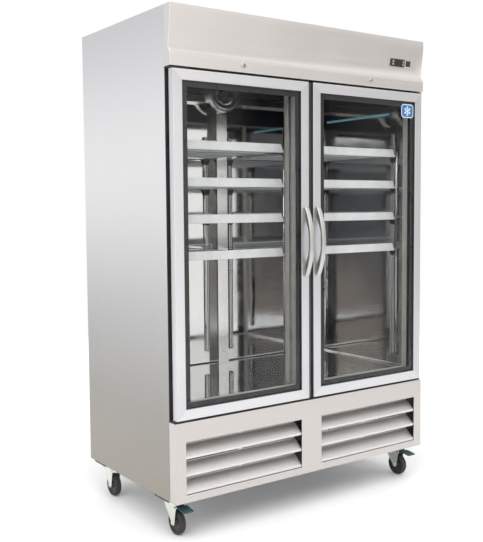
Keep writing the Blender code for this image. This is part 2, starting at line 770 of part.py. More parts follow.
def make_door(side_name):
    """One door: frame, insulated glass unit, gasket and handle, on its hinge axis."""
    side = SIDES[side_name]
    inner, outer = sorted((side * DOOR_MEET_X, side * DOOR_EDGE_X))
    ring = [rectangle((inner, DOOR_BOTTOM), (outer, DOOR_TOP)),
            rectangle((inner + FRAME_WIDTH, DOOR_BOTTOM + FRAME_WIDTH),
                      (outer - FRAME_WIDTH, DOOR_TOP - FRAME_WIDTH))]
    frame = plate("door_frame_" + side_name, ring, "XZ", FRONT, FRONT + DOOR_THICK, ALUMINIUM)
    for height in (DOOR_BOTTOM, DOOR_TOP):
        cut(frame, rod("pivot_bore", (side * PIVOT_X, PIVOT_Y, height), PIVOT_PIN_R + 0.0004,
                       0.028, "Z"))
    frame = settle(frame, ALUMINIUM)

    low = (inner + FRAME_WIDTH + GAP, FRONT + GLASS_SETBACK, DOOR_BOTTOM + FRAME_WIDTH + GAP)
    high = (outer - FRAME_WIDTH - GAP, low[1] + GLASS_THICK, DOOR_TOP - FRAME_WIDTH - GAP)
    glass = box("door_glass_" + side_name, low, high, GLASS)
    cut(glass, box("glass_space", (low[0] + SPACER, low[1] + PANE, low[2] + SPACER),
                   (high[0] - SPACER, high[1] - PANE, high[2] - SPACER)),
        rod("breather", ((low[0] + high[0]) / 2, low[1] + GLASS_THICK / 2, low[2]), 0.0015,
            0.06, "Z", sides=12))
    glass = settle(glass, GLASS)

    hinge_inset = 0.026
    free_inset = 0.012
    seal = [DOOR_MEET_X + free_inset, DOOR_EDGE_X - hinge_inset]
    seal_low, seal_high = sorted((side * seal[0], side * seal[1]))
    gasket_loops = [
        rectangle((seal_low, DOOR_BOTTOM + free_inset), (seal_high, DOOR_TOP - free_inset)),
        rectangle((seal_low + GASKET_WIDTH, DOOR_BOTTOM + free_inset + GASKET_WIDTH),
                  (seal_high - GASKET_WIDTH, DOOR_TOP - free_inset - GASKET_WIDTH))]
    gasket = plate("door_gasket_" + side_name, gasket_loops, "XZ", FRONT + DOOR_THICK + GAP,
                   FLANGE_FRONT - GAP, RUBBER)

    across = side * HANDLE_X
    handle = plate("door_handle_" + side_name, [handle_outline()], "YZ",
                   across - HANDLE_WIDTH / 2, across + HANDLE_WIDTH / 2, ALUMINIUM)
    hang_on(pivot(f"door_{side_name}_pivot", (side * PIVOT_X, PIVOT_Y, 0)),
            frame, glass, gasket, handle)


# ---------------------------------------------------------------- casters
def make_channel(place_name):
    """Cross channel under the body that a pair of casters is bolted to."""
    swivel_y = SWIVEL_YS[place_name]
    top = BODY_BOTTOM - GAP
    low = BODY_BOTTOM - CHANNEL_HEIGHT
    front = swivel_y - CHANNEL_HALF
    back = swivel_y + CHANNEL_HALF
    thick = 0.003
    outline = [(front, low), (back, low), (back, top), (back - thick, top),
               (back - thick, low + thick), (front + thick, low + thick), (front + thick, top),
               (front, top)]
    channel = plate("caster_channel_" + place_name, [outline], "YZ", -0.676, 0.676,
                    STEEL_BLACK)
    for side in SIDES.values():
        cut(channel, rod("kingpin_hole", (side * CASTER_X, swivel_y, low), 0.0064, 0.02, "Z"))
    return settle(channel, STEEL_BLACK)


def leg_outline():
    """Side view of a fork leg about the swivel axis: top, pedal ear and axle boss."""
    axle_y = -TRAIL
    boss = arc((axle_y, WHEEL_R), 0.012, 200, 360, 6)
    ear = arc((-PEDAL_BACK, PEDAL_Z), 0.009, 90, 250, 5)
    return [(0.030, 0.138), (-0.030, 0.138)] + ear + boss + [(0.024, 0.112)]


def make_fork(name, spot):
    """Caster fork: two legs, the swivel race with its kingpin, and the axle."""
    leg_inner = 0.0185
    leg_outer = 0.0210
    race_profile = [(0.1350, 0.0), (0.1350, 0.030), (0.1380, 0.034), (0.1427, 0.034),
                    (0.1427, 0.006), (0.1480, 0.006), (0.1480, 0.0)]
    fork = turned(name, race_profile, "Z", (0, 0, 0), ZINC, steps=20)
    tools = []
    for side in (-1, 1):
        start, end = sorted((side * leg_inner, side * leg_outer))
        leg = plate("fork_leg", [leg_outline()], "YZ", start, end)
        cut(leg, rod("ear_hole", (side * leg_inner, -PEDAL_BACK, PEDAL_Z), 0.0034, 0.01, "X",
                     sides=16))
        tools.append(settle(leg, None))
        nut = rod("axle_nut", (side * 0.0235, -TRAIL, WHEEL_R), 0.0075, 0.0055, "X", sides=6)
        tools.append(nut)
    tools.append(rod("axle", (0, -TRAIL, WHEEL_R), 0.004, 0.044, "X", sides=16))
    unite(fork, *tools)
    fork = settle(fork, ZINC)
    fork.location = spot
    return fork


def make_wheel(name, spot):
    """Wheel with a rounded tyre, a dished web and a bored hub, about its own axle."""
    half = WHEEL_WIDTH / 2
    profile = [(-half + 0.001, 0.0043), (-half + 0.001, 0.011), (-half + 0.005, 0.014),
               (-half + 0.005, 0.034), (-half + 0.001, 0.038), (-half + 0.003, 0.0478),
               (-half + 0.009, WHEEL_R)]
    mirrored = [(-along, radius) for along, radius in reversed(profile)]
    wheel = turned(name, profile + mirrored, "X", (0, 0, 0), RUBBER, steps=28, closed=True)
    smooth(wheel)
    wheel.location = spot
    return wheel


def make_pedal(name, spot):
    """Brake pedal: a hub with pins in the fork's ears and a tread plate out in front."""
    hub = rod(name, (0, 0, 0), 0.0060, 0.0350, "X", TEAL, sides=16)
    pin = rod("pedal_pin", (0, 0, 0), 0.0030, 0.0480, "X", sides=16)
    plank = [(0.000, -0.0035), (0.000, 0.0045), (-0.030, 0.0060), (-0.072, -0.0010),
             (-0.075, -0.0050), (-0.030, 0.0020)]
    neck = plate("pedal_neck", [plank], "YZ", -0.0170, 0.0170)
    wide = [(-0.0155, 0.0020), (-0.0155, 0.0053), (-0.030, 0.0062), (-0.072, -0.0008),
            (-0.074, -0.0048), (-0.030, 0.0022)]
    tread = plate("pedal_tread", [wide], "YZ", -0.0230, 0.0230)
    unite(hub, pin, neck, tread)
    pedal = settle(hub, TEAL)
    pedal.location = spot
    return pedal


def make_casters():
    """Four swivel casters; the front pair has brake pedals."""
    for place_name, swivel_y in SWIVEL_YS.items():
        make_channel(place_name)
        for side_name, side in SIDES.items():
            label = f"{place_name}_{side_name}"
            across = side * CASTER_X
            swivel = pivot("swivel_" + label, (across, swivel_y, 0))
            pieces = [make_fork("caster_fork_" + label, (across, swivel_y, 0)),
                      make_wheel("caster_wheel_" + label, (across, swivel_y - TRAIL, WHEEL_R))]
            if place_name == "front":
                pieces.append(make_pedal("brake_pedal_" + side_name,
                                         (across, swivel_y - PEDAL_BACK, PEDAL_Z)))
            hang_on(swivel, *pieces)


# ---------------------------------------------------------------- build
make_outer_shell()
make_back_panel()
make_base_pan()
make_liner()
make_insulation()
make_mullion()
make_lower_panel()
make_header()
make_controller()
make_switch()
make_shelves()
make_pilasters()
make_evaporator()
make_rear_duct()
make_machine_compartment()
for door_side in SIDES:
    make_louvre(door_side)
    make_lock(door_side)
    make_hinge_bracket(door_side, "top")
    make_hinge_bracket(door_side, "bottom")
    make_door(door_side)
make_casters()
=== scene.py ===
"""Looks of the glass door merchandiser: finishes, fine shapes and a plain studio.

Metres, +Z up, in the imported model's frame.  -Y is the front and +X the right-hand side.
"""

import json
from math import atan2, cos, pi, radians, sin, sqrt

import bmesh
import bpy
from mathutils import Matrix, Vector

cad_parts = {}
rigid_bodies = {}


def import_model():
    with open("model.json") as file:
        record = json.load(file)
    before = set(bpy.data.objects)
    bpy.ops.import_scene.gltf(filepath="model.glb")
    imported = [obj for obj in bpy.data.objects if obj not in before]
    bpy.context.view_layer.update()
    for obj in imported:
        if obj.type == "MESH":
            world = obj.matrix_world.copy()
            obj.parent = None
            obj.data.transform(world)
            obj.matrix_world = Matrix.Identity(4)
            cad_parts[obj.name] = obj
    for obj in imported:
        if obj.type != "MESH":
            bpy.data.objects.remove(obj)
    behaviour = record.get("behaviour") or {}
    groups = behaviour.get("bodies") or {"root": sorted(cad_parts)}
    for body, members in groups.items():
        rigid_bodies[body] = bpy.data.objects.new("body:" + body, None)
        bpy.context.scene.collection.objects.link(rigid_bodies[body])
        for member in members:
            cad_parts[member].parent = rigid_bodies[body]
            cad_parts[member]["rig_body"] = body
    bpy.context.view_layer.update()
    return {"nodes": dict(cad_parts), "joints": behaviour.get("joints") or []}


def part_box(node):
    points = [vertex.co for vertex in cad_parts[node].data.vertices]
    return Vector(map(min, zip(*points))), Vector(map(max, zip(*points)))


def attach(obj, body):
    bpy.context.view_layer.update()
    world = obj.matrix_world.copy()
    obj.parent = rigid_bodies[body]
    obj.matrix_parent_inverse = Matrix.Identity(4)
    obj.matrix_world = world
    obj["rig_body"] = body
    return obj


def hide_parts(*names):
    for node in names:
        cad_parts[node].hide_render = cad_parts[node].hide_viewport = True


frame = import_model()

# ---- places, from the frame
SIDES = {"left": -1, "right": 1}
LEVELS = (1, 2, 3, 4)
NODES = frame["nodes"]
JOINTS = {joint["name"]: joint for joint in frame["joints"]}
SHEET = 0.0012

DOOR_LOW, DOOR_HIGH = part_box("door_frame_right")
GLASS_LOW, GLASS_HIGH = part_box("door_glass_right")
GASKET_LOW, GASKET_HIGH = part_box("door_gasket_right")
COVER_LOW, COVER_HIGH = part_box("evaporator_cover")
DUCT_LOW, DUCT_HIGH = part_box("rear_duct")
POST_LOW, POST_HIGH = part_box("center_mullion")
FRONT = DOOR_LOW.y
FLANGE = POST_LOW.y
INNER_X = 0.635
FLOOR = POST_LOW.z
OPENING_TOP = POST_HIGH.z
INNER_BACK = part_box("inner_liner")[1].y - SHEET


def body_of(node):
    """Name of the body that a CAD node belongs to."""
    return NODES[node]["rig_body"]


# ---- camera
def make_camera():
    """Camera at the photograph's angle."""
    data = bpy.data.cameras.new("camera")
    data.sensor_width = 36.0
    data.lens = 54.48
    data.shift_x = -0.0039
    data.shift_y = -0.0102
    data.clip_start = 0.05
    data.clip_end = 200.0
    camera = bpy.data.objects.new("camera", data)
    bpy.context.scene.collection.objects.link(camera)
    camera.rotation_mode = "QUATERNION"
    turn = Matrix.Rotation(radians(-35.402), 4, "Z") @ Matrix.Rotation(radians(90 - 4.042), 4, "X")
    turn = turn @ Matrix.Rotation(radians(-0.449), 4, "Z")
    camera.rotation_quaternion = turn.to_quaternion()
    camera.location = (-2.2638, -3.0462, 1.3061)
    bpy.context.scene.camera = camera


make_camera()


# ---- node helpers
def feed(tree, node, inputs):
    """Set a node's inputs, each to a plain value or to another node's output."""
    for label, value in inputs.items():
        if isinstance(value, bpy.types.NodeSocket):
            tree.links.new(value, node.inputs[label])
        else:
            node.inputs[label].default_value = value


def surface(name, color, roughness, metallic=0.0):
    """A material with its tree and its Principled shader."""
    made = bpy.data.materials.new(name)
    made.use_nodes = True
    tree = made.node_tree
    shader = tree.nodes["Principled BSDF"]
    feed(tree, shader, {"Base Color": (*color, 1), "Roughness": roughness, "Metallic": metallic})
    return made, tree, shader


def add_node(tree, kind, inputs):
    """A shader node with its inputs."""
    made = tree.nodes.new("ShaderNode" + kind)
    feed(tree, made, inputs)
    return made


def space(tree, stretch=(1, 1, 1)):
    """Object coordinates, scaled along each axis."""
    source = add_node(tree, "TexCoord", {}).outputs["Object"]
    return add_node(tree, "Mapping", {"Scale": stretch, "Vector": source}).outputs["Vector"]


def noise(tree, vector, scale, detail=2.0, roughness=0.5):
    """Noise from 0 to 1."""
    return add_node(tree, "TexNoise", {"Scale": scale, "Detail": detail, "Roughness": roughness,
                                       "Vector": vector}).outputs["Fac"]


def spread(tree, value, low, high, start=0.0, end=1.0):
    """Map a value from start..end to low..high."""
    return add_node(tree, "MapRange", {"From Min": start, "From Max": end, "To Min": low,
                                       "To Max": high, "Value": value}).outputs["Result"]


def arithmetic(tree, operation, first, second):
    """Maths on two values; either may be a number."""
    made = add_node(tree, "Math", {0: first, 1: second})
    made.operation = operation
    return made.outputs["Value"]


def blend_colors(tree, share, first, second, kind="MIX"):
    """Blend two colours, each a tuple or a socket; the share is a number or a socket."""
    made = tree.nodes.new("ShaderNodeMix")
    made.data_type = "RGBA"
    made.blend_type = kind
    sockets = [number for number, socket in enumerate(made.inputs) if socket.type == "RGBA"]
    colors = [(*value, 1) if isinstance(value, tuple) else value for value in (first, second)]
    feed(tree, made, {"Factor": share, **dict(zip(sockets, colors))})
    return [socket for socket in made.outputs if socket.type == "RGBA"][0]


def scaled(color, factor):
    """A lighter or darker colour."""
    return tuple(min(1.0, channel * factor) for channel in color)


def relief(tree, shader, height, strength, distance):
    """Bump on a shader."""
    made = add_node(tree, "Bump", {"Strength": strength, "Distance": distance, "Height": height})
    feed(tree, shader, {"Normal": made.outputs["Normal"]})


def grain_stretch(axis, along, across):
    """Scale of a grain that runs along one axis."""
    return tuple(along if letter == axis else across for letter in "XYZ")


def paint_light_by_height(tree, color, painted_light_tones):
    """Paint light and shade into a colour by its height on the object."""
    parts = add_node(tree, "SeparateXYZ", {"Vector": space(tree)})
    first, last = painted_light_tones[0][0], painted_light_tones[-1][0]
    ramp = tree.nodes.new("ShaderNodeValToRGB")
    ramp.color_ramp.interpolation = "B_SPLINE"
    stops = ramp.color_ramp.elements
    while len(stops) < len(painted_light_tones):
        stops.new(0.5)
    for stop, (height, tint) in zip(stops, painted_light_tones):
        stop.position = (height - first) / (last - first)
        stop.color = (*tint, 1)
    feed(tree, ramp, {"Fac": spread(tree, parts.outputs["Z"], 0, 1, first, last)})
    return blend_colors(tree, 1.0, color, ramp.outputs["Color"], "MULTIPLY")


# ---- materials
def brushed(name, color, axis, low, high, depth=0.10, smudge=0.05, painted_light_tones=None):
    """Brushed metal whose grain runs along an axis, with handling marks.

    The tones by height are a list of (height, tint) multiplied into the colour: painted reflection
    and shade, darker towards the sheet's ends and brighter between.
    """
    made, tree, shader = surface(name, color, low, 1.0)
    fine = noise(tree, space(tree, grain_stretch(axis, 2.5, 900)), 1.0, 3.0, 0.65)
    streak = noise(tree, space(tree, grain_stretch(axis, 0.8, 70)), 1.0, 2.0)
    cloud = noise(tree, space(tree), 2.6, 4.0, 0.6)
    mixed = arithmetic(tree, "ADD", arithmetic(tree, "MULTIPLY", fine, 0.75),
                       arithmetic(tree, "MULTIPLY", streak, 0.25))
    rough = spread(tree, mixed, low, high, 0.3, 0.7)
    marks = spread(tree, cloud, 0.0, smudge, 0.48, 0.75)
    rough = arithmetic(tree, "ADD", rough, marks)
    tone = blend_colors(tree, spread(tree, mixed, 0, 1, 0.3, 0.7), scaled(color, 0.965),
                        scaled(color, 1.03))
    # painted light: the colour is darkened and brightened by height
    if painted_light_tones:
        tone = paint_light_by_height(tree, tone, painted_light_tones)
    feed(tree, shader, {"Roughness": rough, "Base Color": tone})
    relief(tree, shader, mixed, depth, 0.0002)
    return made


def polished(name, color, low, high, wave=0.25):
    """Polished sheet that mirrors with slight waves and wipe marks."""
    made, tree, shader = surface(name, color, low, 1.0)
    waves = noise(tree, space(tree, (1.0, 1.0, 0.6)), 3.5, 2.0)
    wipes = noise(tree, space(tree, (6, 6, 18)), 1.0, 5.0, 0.65)
    fine = noise(tree, space(tree, (700, 700, 6)), 1.0, 2.0)
    rough = spread(tree, wipes, low, high, 0.35, 0.75)
    tone = blend_colors(tree, spread(tree, wipes, 0, 1, 0.3, 0.7), scaled(color, 0.95), color)
    feed(tree, shader, {"Roughness": rough, "Base Color": tone})
    height = arithmetic(tree, "ADD", waves, arithmetic(tree, "MULTIPLY", fine, 0.0004))
    relief(tree, shader, height, wave, 0.004)
    return made


def moulded(name, color, roughness, grain=350, depth=0.15, dust=0.0):
    """Moulded plastic, rubber or paint with a fine pebble and a little dust."""
    made, tree, shader = surface(name, color, roughness)
    pebble = noise(tree, space(tree), grain, 2.0, 0.6)
    cloud = noise(tree, space(tree), 14, 4.0, 0.6)
    rough = spread(tree, cloud, roughness - 0.06, roughness + 0.10, 0.3, 0.7)
    light = tuple(min(1.0, channel * 1.12 + dust) for channel in color)
    tone = blend_colors(tree, spread(tree, cloud, 0, 1, 0.4, 0.75), scaled(color, 0.92), light)
    feed(tree, shader, {"Roughness": rough, "Base Color": tone})
    relief(tree, shader, pebble, depth, 0.0003)
    return made


def plated(name, color, low, high, cell=160):
    """Zinc-plated steel with a faint crystal pattern."""
    made, tree, shader = surface(name, color, low, 1.0)
    cells = add_node(tree, "TexVoronoi", {"Scale": cell, "Vector": space(tree)})
    cloud = noise(tree, space(tree), 30, 4.0, 0.6)
    mixed = arithmetic(tree, "ADD", arithmetic(tree, "MULTIPLY", cells.outputs["Distance"], 0.5),
                       arithmetic(tree, "MULTIPLY", cloud, 0.6))
    rough = spread(tree, mixed, low, high, 0.2, 0.8)
    tone = blend_colors(tree, spread(tree, mixed, 0, 1, 0.2, 0.8), scaled(color, 0.85),
                        scaled(color, 1.06))
    feed(tree, shader, {"Roughness": rough, "Base Color": tone})
    relief(tree, shader, mixed, 0.08, 0.0003)
    return made


def clear_glass(name, tint, head_on=0.04):
    """Clean flat glass: see-through face on, and a mirror towards grazing angles."""
    made, tree, shader = surface(name, (1, 1, 1), 0.012, 1.0)
    smear = noise(tree, space(tree, (1.5, 1.5, 3.0)), 3.0, 5.0, 0.6)
    feed(tree, shader, {"Roughness": spread(tree, smear, 0.006, 0.05, 0.45, 0.8)})
    through = add_node(tree, "BsdfTransparent", {"Color": (*tint, 1)})
    angle = add_node(tree, "LayerWeight", {"Blend": 0.5})
    grazing = arithmetic(tree, "POWER", angle.outputs["Facing"], 5.0)
    mixer = add_node(tree, "MixShader", {"Fac": spread(tree, grazing, head_on, 0.7),
                                         1: through.outputs["BSDF"], 2: shader.outputs["BSDF"]})
    feed(tree, tree.nodes["Material Output"], {"Surface": mixer.outputs["Shader"]})
    return made


def glowing(name, color, strength):
    """Lamp cover with an even glow."""
    made, tree, shader = surface(name, color, 0.4)
    cloud = noise(tree, space(tree, (30, 4, 30)), 1.0, 2.0)
    feed(tree, shader, {"Roughness": spread(tree, cloud, 0.35, 0.5),
                        "Emission Color": (*color, 1), "Emission Strength": strength})
    return made


# Painted reflection and shade on the shell: darker and warmer low down where the floor is
# mirrored, brightest at mid height, darker at the top.
PAINTED_REFLECTION_TONES = [(0.15, (0.42, 0.385, 0.335)), (0.50, (0.385, 0.37, 0.345)),
               (0.80, (0.56, 0.56, 0.56)), (1.15, (0.86, 0.86, 0.86)), (1.45, (1.02, 1.02, 1.02)),
               (1.75, (0.93, 0.93, 0.94)), (2.07, (0.70, 0.70, 0.71))]
SHELL_STEEL = brushed("shell_steel", (0.80, 0.80, 0.80), "Z", 0.26, 0.38, painted_light_tones=PAINTED_REFLECTION_TONES)
FRONT_STEEL = brushed("front_steel", (0.68, 0.66, 0.64), "X", 0.30, 0.42)
# The lower front panel's steel is a darker, warmer copy of the front steel: painted shade low down
# near the floor.
PAN_STEEL_PAINTED_SHADE = brushed("pan_steel_painted_shade", (0.60, 0.575, 0.55), "X", 0.30, 0.42)
# The louvres' steel is a lighter copy of the front steel: painted brightness standing in for the
# bright floor that the blades mirror.
LOUVRE_STEEL_PAINTED_LIGHT = brushed("louvre_steel_painted_light", (0.74, 0.725, 0.715), "X", 0.48, 0.60)
LINER_STEEL = polished("liner_steel", (0.66, 0.657, 0.66), 0.04, 0.11)
COVER_STEEL = polished("cover_steel", (0.80, 0.79, 0.78), 0.16, 0.26, 0.08)
TRIM_STEEL = brushed("trim_steel", (0.72, 0.72, 0.72), "Z", 0.20, 0.34)
# Door uprights with a painted highlight: brightened up to 1.36 times at mid height and darker
# towards top and bottom; the crossbars have none.
FRAME_UPRIGHT_PAINTED_HIGHLIGHT = brushed("frame_upright_painted_highlight", (0.70, 0.705, 0.725), "Z", 0.30, 0.40, 0.05, 0.03,
                        painted_light_tones=[(0.47, (0.88, 0.88, 0.88)), (0.80, (1.00, 1.00, 1.00)),
                               (1.10, (1.36, 1.36, 1.36)), (1.45, (1.12, 1.12, 1.12)),
                               (1.82, (0.86, 0.86, 0.86))])
FRAME_ACROSS = brushed("frame_across", (0.70, 0.705, 0.725), "X", 0.30, 0.40, 0.05, 0.03)
HANDLE_METAL = brushed("handle_metal", (0.56, 0.56, 0.54), "Z", 0.30, 0.40, 0.04, 0.05)
GALVANISED = plated("galvanised", (0.64, 0.65, 0.66), 0.30, 0.50, 60)
ZINC = plated("zinc", (0.74, 0.76, 0.71), 0.25, 0.42)
SCREW_ZINC = plated("screw_zinc", (0.70, 0.70, 0.68), 0.22, 0.38, 500)
CHROME = brushed("lock_chrome", (0.55, 0.55, 0.55), "Z", 0.10, 0.18, 0.02, 0.05)
BLACK_STEEL = moulded("black_steel", (0.025, 0.025, 0.028), 0.42, 500, 0.08, 0.01)
BLACK_PLASTIC = moulded("black_plastic", (0.020, 0.020, 0.022), 0.45, 450, 0.12)
BLACK_GLAZE = moulded("black_glaze", (0.016, 0.016, 0.018), 0.30, 60, 0.01)
GREY_PLASTIC = moulded("grey_plastic", (0.30, 0.30, 0.31), 0.45, 450, 0.10)
BREAKER = moulded("breaker_plastic", (0.60, 0.56, 0.53), 0.42, 300, 0.08)
RUBBER = moulded("gasket_rubber", (0.018, 0.018, 0.020), 0.60, 500, 0.10)
TYRE = moulded("tyre_rubber", (0.016, 0.015, 0.015), 0.55, 420, 0.20, 0.006)
TREAD = moulded("tyre_tread", (0.030, 0.026, 0.022), 0.70, 380, 0.30, 0.015)
PEDAL = moulded("pedal_enamel", (0.020, 0.075, 0.075), 0.38, 420, 0.15, 0.01)
SHELF_COAT = moulded("shelf_coating", (0.78, 0.79, 0.82), 0.34, 520, 0.10)
LIP_COAT = moulded("lip_coating", (0.69, 0.685, 0.70), 0.34, 520, 0.08)
FOAM = moulded("foam", (0.80, 0.70, 0.42), 0.90, 220, 0.50)
FINS = brushed("fin_aluminium", (0.76, 0.77, 0.78), "Z", 0.25, 0.45)
COPPER = brushed("copper_pipe", (0.80, 0.42, 0.28), "X", 0.22, 0.38, 0.03)
PANE_GLASS = clear_glass("pane_glass", (0.985, 0.99, 0.988), 0.004)
SEALANT = moulded("edge_sealant", (0.015, 0.015, 0.016), 0.55, 300, 0.10)
LAMP = glowing("lamp_cover", (0.16, 0.42, 0.55), 0.25)
LABEL_BLUE = moulded("label_blue", (0.02, 0.16, 0.42), 0.30, 60, 0.01)
LABEL_WHITE = moulded("label_white", (0.82, 0.84, 0.86), 0.30, 60, 0.01)


# ---- shape helpers
def add_piece(name, data, body, materials=(), replaces=()):
    """Link a piece, put it on its body and give it its materials; data may be a bmesh."""
    if isinstance(data, bmesh.types.BMesh):
        data = as_mesh(data, name)
    piece = bpy.data.objects.new(name, data)
    bpy.context.scene.collection.objects.link(piece)
    if materials and not len(data.materials):
        for mat in materials:
            data.materials.append(mat)
    if piece.type == "MESH":
        normals = piece.modifiers.new("normals", "WEIGHTED_NORMAL")
        normals.weight = 100
        normals.keep_sharp = True
    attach(piece, body)
    if replaces:
        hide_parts(*replaces)
    return piece


def as_mesh(shape, name, crease=32):
    """Turn a bmesh into a mesh that is smooth up to an angle."""
    bmesh.ops.recalc_face_normals(shape, faces=shape.faces)
    mesh = bpy.data.meshes.new(name)
    shape.to_mesh(mesh)
    shape.free()
    mesh.shade_smooth()
    mesh.set_sharp_from_angle(angle=radians(crease))
    return mesh


def round_edges(shape, edges, width, steps=2):
    """Bevel edges of a bmesh."""
    if edges:
        bmesh.ops.bevel(shape, geom=edges, offset=width, offset_type="OFFSET", segments=steps,
                        profile=0.5, affect="EDGES", clamp_overlap=True)


def breadth(face):
    """Width of a long face, or about half that of a square one."""
    return 2 * face.calc_area() / max(face.calc_perimeter(), 1e-6)


def sharp_edges(shape, broad=0.0, angle=25):
    """Edges that stand out, between faces at least as broad as a width."""
    found = []
    for edge in shape.edges:
        if len(edge.link_faces) != 2 or not edge.is_convex:
            continue
        if edge.calc_face_angle(0) < radians(angle):
            continue
        if min(breadth(face) for face in edge.link_faces) >= broad:
            found.append(edge)
    return found


def refine(node, materials, fold=0.0, trim=0.0003, steps=2, name=None):
    """A CAD node's shape with its folds and edges rounded, standing for that node."""
    shape = bmesh.new()
    shape.from_mesh(NODES[node].data)
    bmesh.ops.remove_doubles(shape, verts=shape.verts, dist=0.00001)
    bmesh.ops.dissolve_limit(shape, angle_limit=radians(0.5), verts=shape.verts,
                             edges=shape.edges)
    if fold:
        round_edges(shape, sharp_edges(shape, 0.004), fold, steps)
    elif trim:
        round_edges(shape, sharp_edges(shape), trim, steps)
    return add_piece(name or node + "_body", shape, body_of(node),
                     materials, (node,))


def add_box(shape, low, high, index=0, width=0.0, steps=2):
    """A box in a bmesh, with its edges rounded."""
    low, high = Vector(low), Vector(high)
    made = bmesh.ops.create_cube(shape, size=1.0)["verts"]
    bmesh.ops.scale(shape, vec=high - low, verts=made)
    bmesh.ops.translate(shape, vec=(high + low) / 2, verts=made)
    edges = {edge for vert in made for edge in vert.link_edges}
    faces = {face for vert in made for face in vert.link_faces}
    if width:
        result = bmesh.ops.bevel(shape, geom=list(edges), offset=width, offset_type="OFFSET",
                                 segments=steps, profile=0.5, affect="EDGES",
                                 clamp_overlap=True)
        faces = {face for face in faces if face.is_valid} | set(result["faces"])
    for face in faces:
        face.material_index = index


AXIS_TURN = {
    "X": Matrix.Rotation(pi / 2, 3, "Y"),
    "Y": Matrix.Rotation(-pi / 2, 3, "X"),
    "Z": Matrix.Identity(3),
}


def add_turned(shape, profile, axis, middle, index=0, sides=24):
    """Turn a profile of (along, radius) about an axis through a point."""
    turn = AXIS_TURN[axis]
    rings = []
    for along, radius in profile:
        ring = []
        for side in range(sides if radius > 1e-7 else 1):
            angle = 2 * pi * side / sides
            spot = Vector((radius * cos(angle), radius * sin(angle), along))
            ring.append(shape.verts.new(Vector(middle) + turn @ spot))
        rings.append(ring)
    for first, second in zip(rings, rings[1:]):
        for side in range(sides):
            after = (side + 1) % sides
            corners = [first[side % len(first)], first[after % len(first)],
                       second[after % len(second)], second[side % len(second)]]
            unique = list(dict.fromkeys(corners))
            if len(unique) > 2:
                shape.faces.new(unique).material_index = index
    for ring in (rings[0], rings[-1]):
        if len(ring) > 1:
            shape.faces.new(ring).material_index = index


def bridge(shape, first, second):
    """Quads between two rings of as many corners."""
    faces = []
    for step in range(len(first)):
        after = (step + 1) % len(first)
        faces.append(shape.faces.new((first[step], first[after], second[after], second[step])))
    return faces


def loft(shape, first, second, index=0):
    """Close a solid between two rings."""
    faces = [shape.faces.new(first), shape.faces.new(second)] + bridge(shape, first, second)
    for face in faces:
        face.material_index = index


def add_prism(shape, outline, plane, start, end, index=0):
    """Extrude a flat outline along the axis that its plane leaves out."""
    order = {"XZ": (0, 2, 1), "YZ": (1, 2, 0), "XY": (0, 1, 2)}[plane]
    rings = []
    for depth in (start, end):
        ring = []
        for across, up in outline:
            spot = [0, 0, 0]
            spot[order[0]], spot[order[1]], spot[order[2]] = across, up, depth
            ring.append(shape.verts.new(spot))
        rings.append(ring)
    loft(shape, *rings, index)


def mitred_ring(shape, low, high, section, seam=0.0, index_upright=0, index_across=0):
    """Four bars round a rectangle in XZ, cut at 45 degrees.

    low and high are (x, z) corners; the section's points are (inset, y).
    """
    corners = [(0, 0), (1, 0), (1, 1), (0, 1)]
    for step in range(4):
        ends = (corners[step], corners[(step + 1) % 4])
        across = ends[0][1] == ends[1][1]
        rings = []
        for count, (right, top) in enumerate(ends):
            ring = []
            for inset, depth in section:
                x = high[0] - inset if right else low[0] + inset
                z = high[1] - inset if top else low[1] + inset
                other = ends[1 - count]
                if across:
                    x += seam / 2 * (1 if other[0] > right else -1)
                else:
                    z += seam / 2 * (1 if other[1] > top else -1)
                ring.append(shape.verts.new((x, depth, z)))
            rings.append(ring)
        loft(shape, *rings, index_across if across else index_upright)


def wires(name, paths, radius, body, mat, replaces=(), facets=2):
    """Round wires as one curve object, one spline for each path."""
    curve = bpy.data.curves.new(name, "CURVE")
    curve.dimensions = "3D"
    curve.bevel_depth = radius
    curve.bevel_resolution = facets
    curve.use_fill_caps = True
    for path in paths:
        spline = curve.splines.new("POLY")
        spline.points.add(len(path) - 1)
        for point, spot in zip(spline.points, path):
            point.co = (*spot, 1)
        spline.use_smooth = True
    return add_piece(name, curve, body, (mat,), replaces)


def screw_head(shape, spot, radius):
    """A low domed screw head with a cross recess, on a face that looks forward."""
    height = radius * 0.35
    profile = [(0, radius), (-height * 0.55, radius * 0.92), (-height, radius * 0.55),
               (-height, 0)]
    add_turned(shape, profile, "Y", spot, 0, 16)
    long, wide, top = radius * 0.52, radius * 0.11, height * 1.02
    middle = Vector(spot) - Vector((0, top / 2, 0))
    for half in (Vector((long, top / 2, wide)), Vector((wide, top / 2, long))):
        add_box(shape, middle - half, middle + half, 1)


def arc_points(middle, radius, start, end, steps):
    """Points along an arc, angles in degrees."""
    points = []
    for step in range(steps + 1):
        angle = radians(start + (end - start) * step / steps)
        points.append((middle[0] + radius * cos(angle), middle[1] + radius * sin(angle)))
    return points


def rounded_rectangle(low, high, radius, steps=4):
    """Outline of a rectangle with round corners, anticlockwise."""
    left, right = low[0] + radius, high[0] - radius
    bottom, top = low[1] + radius, high[1] - radius
    points = []
    for turn, middle in enumerate(((right, top), (left, top), (left, bottom), (right, bottom))):
        points += arc_points(middle, radius, 90 * turn, 90 * turn + 90, steps)
    return points


# ---- cabinet
SCREW_RISE = 0.0004
RECESS_TOP = 2.035
RECESS_BOTTOM = 1.909
RECESS_DEPTH = 0.016
CONTROLLER_HEIGHT = 1.961
SWITCH_HEIGHT = 1.962


def dress(node, mat):
    """Give a CAD node that stays its finish."""
    mesh = NODES[node].data
    mesh.materials.clear()
    mesh.materials.append(mat)


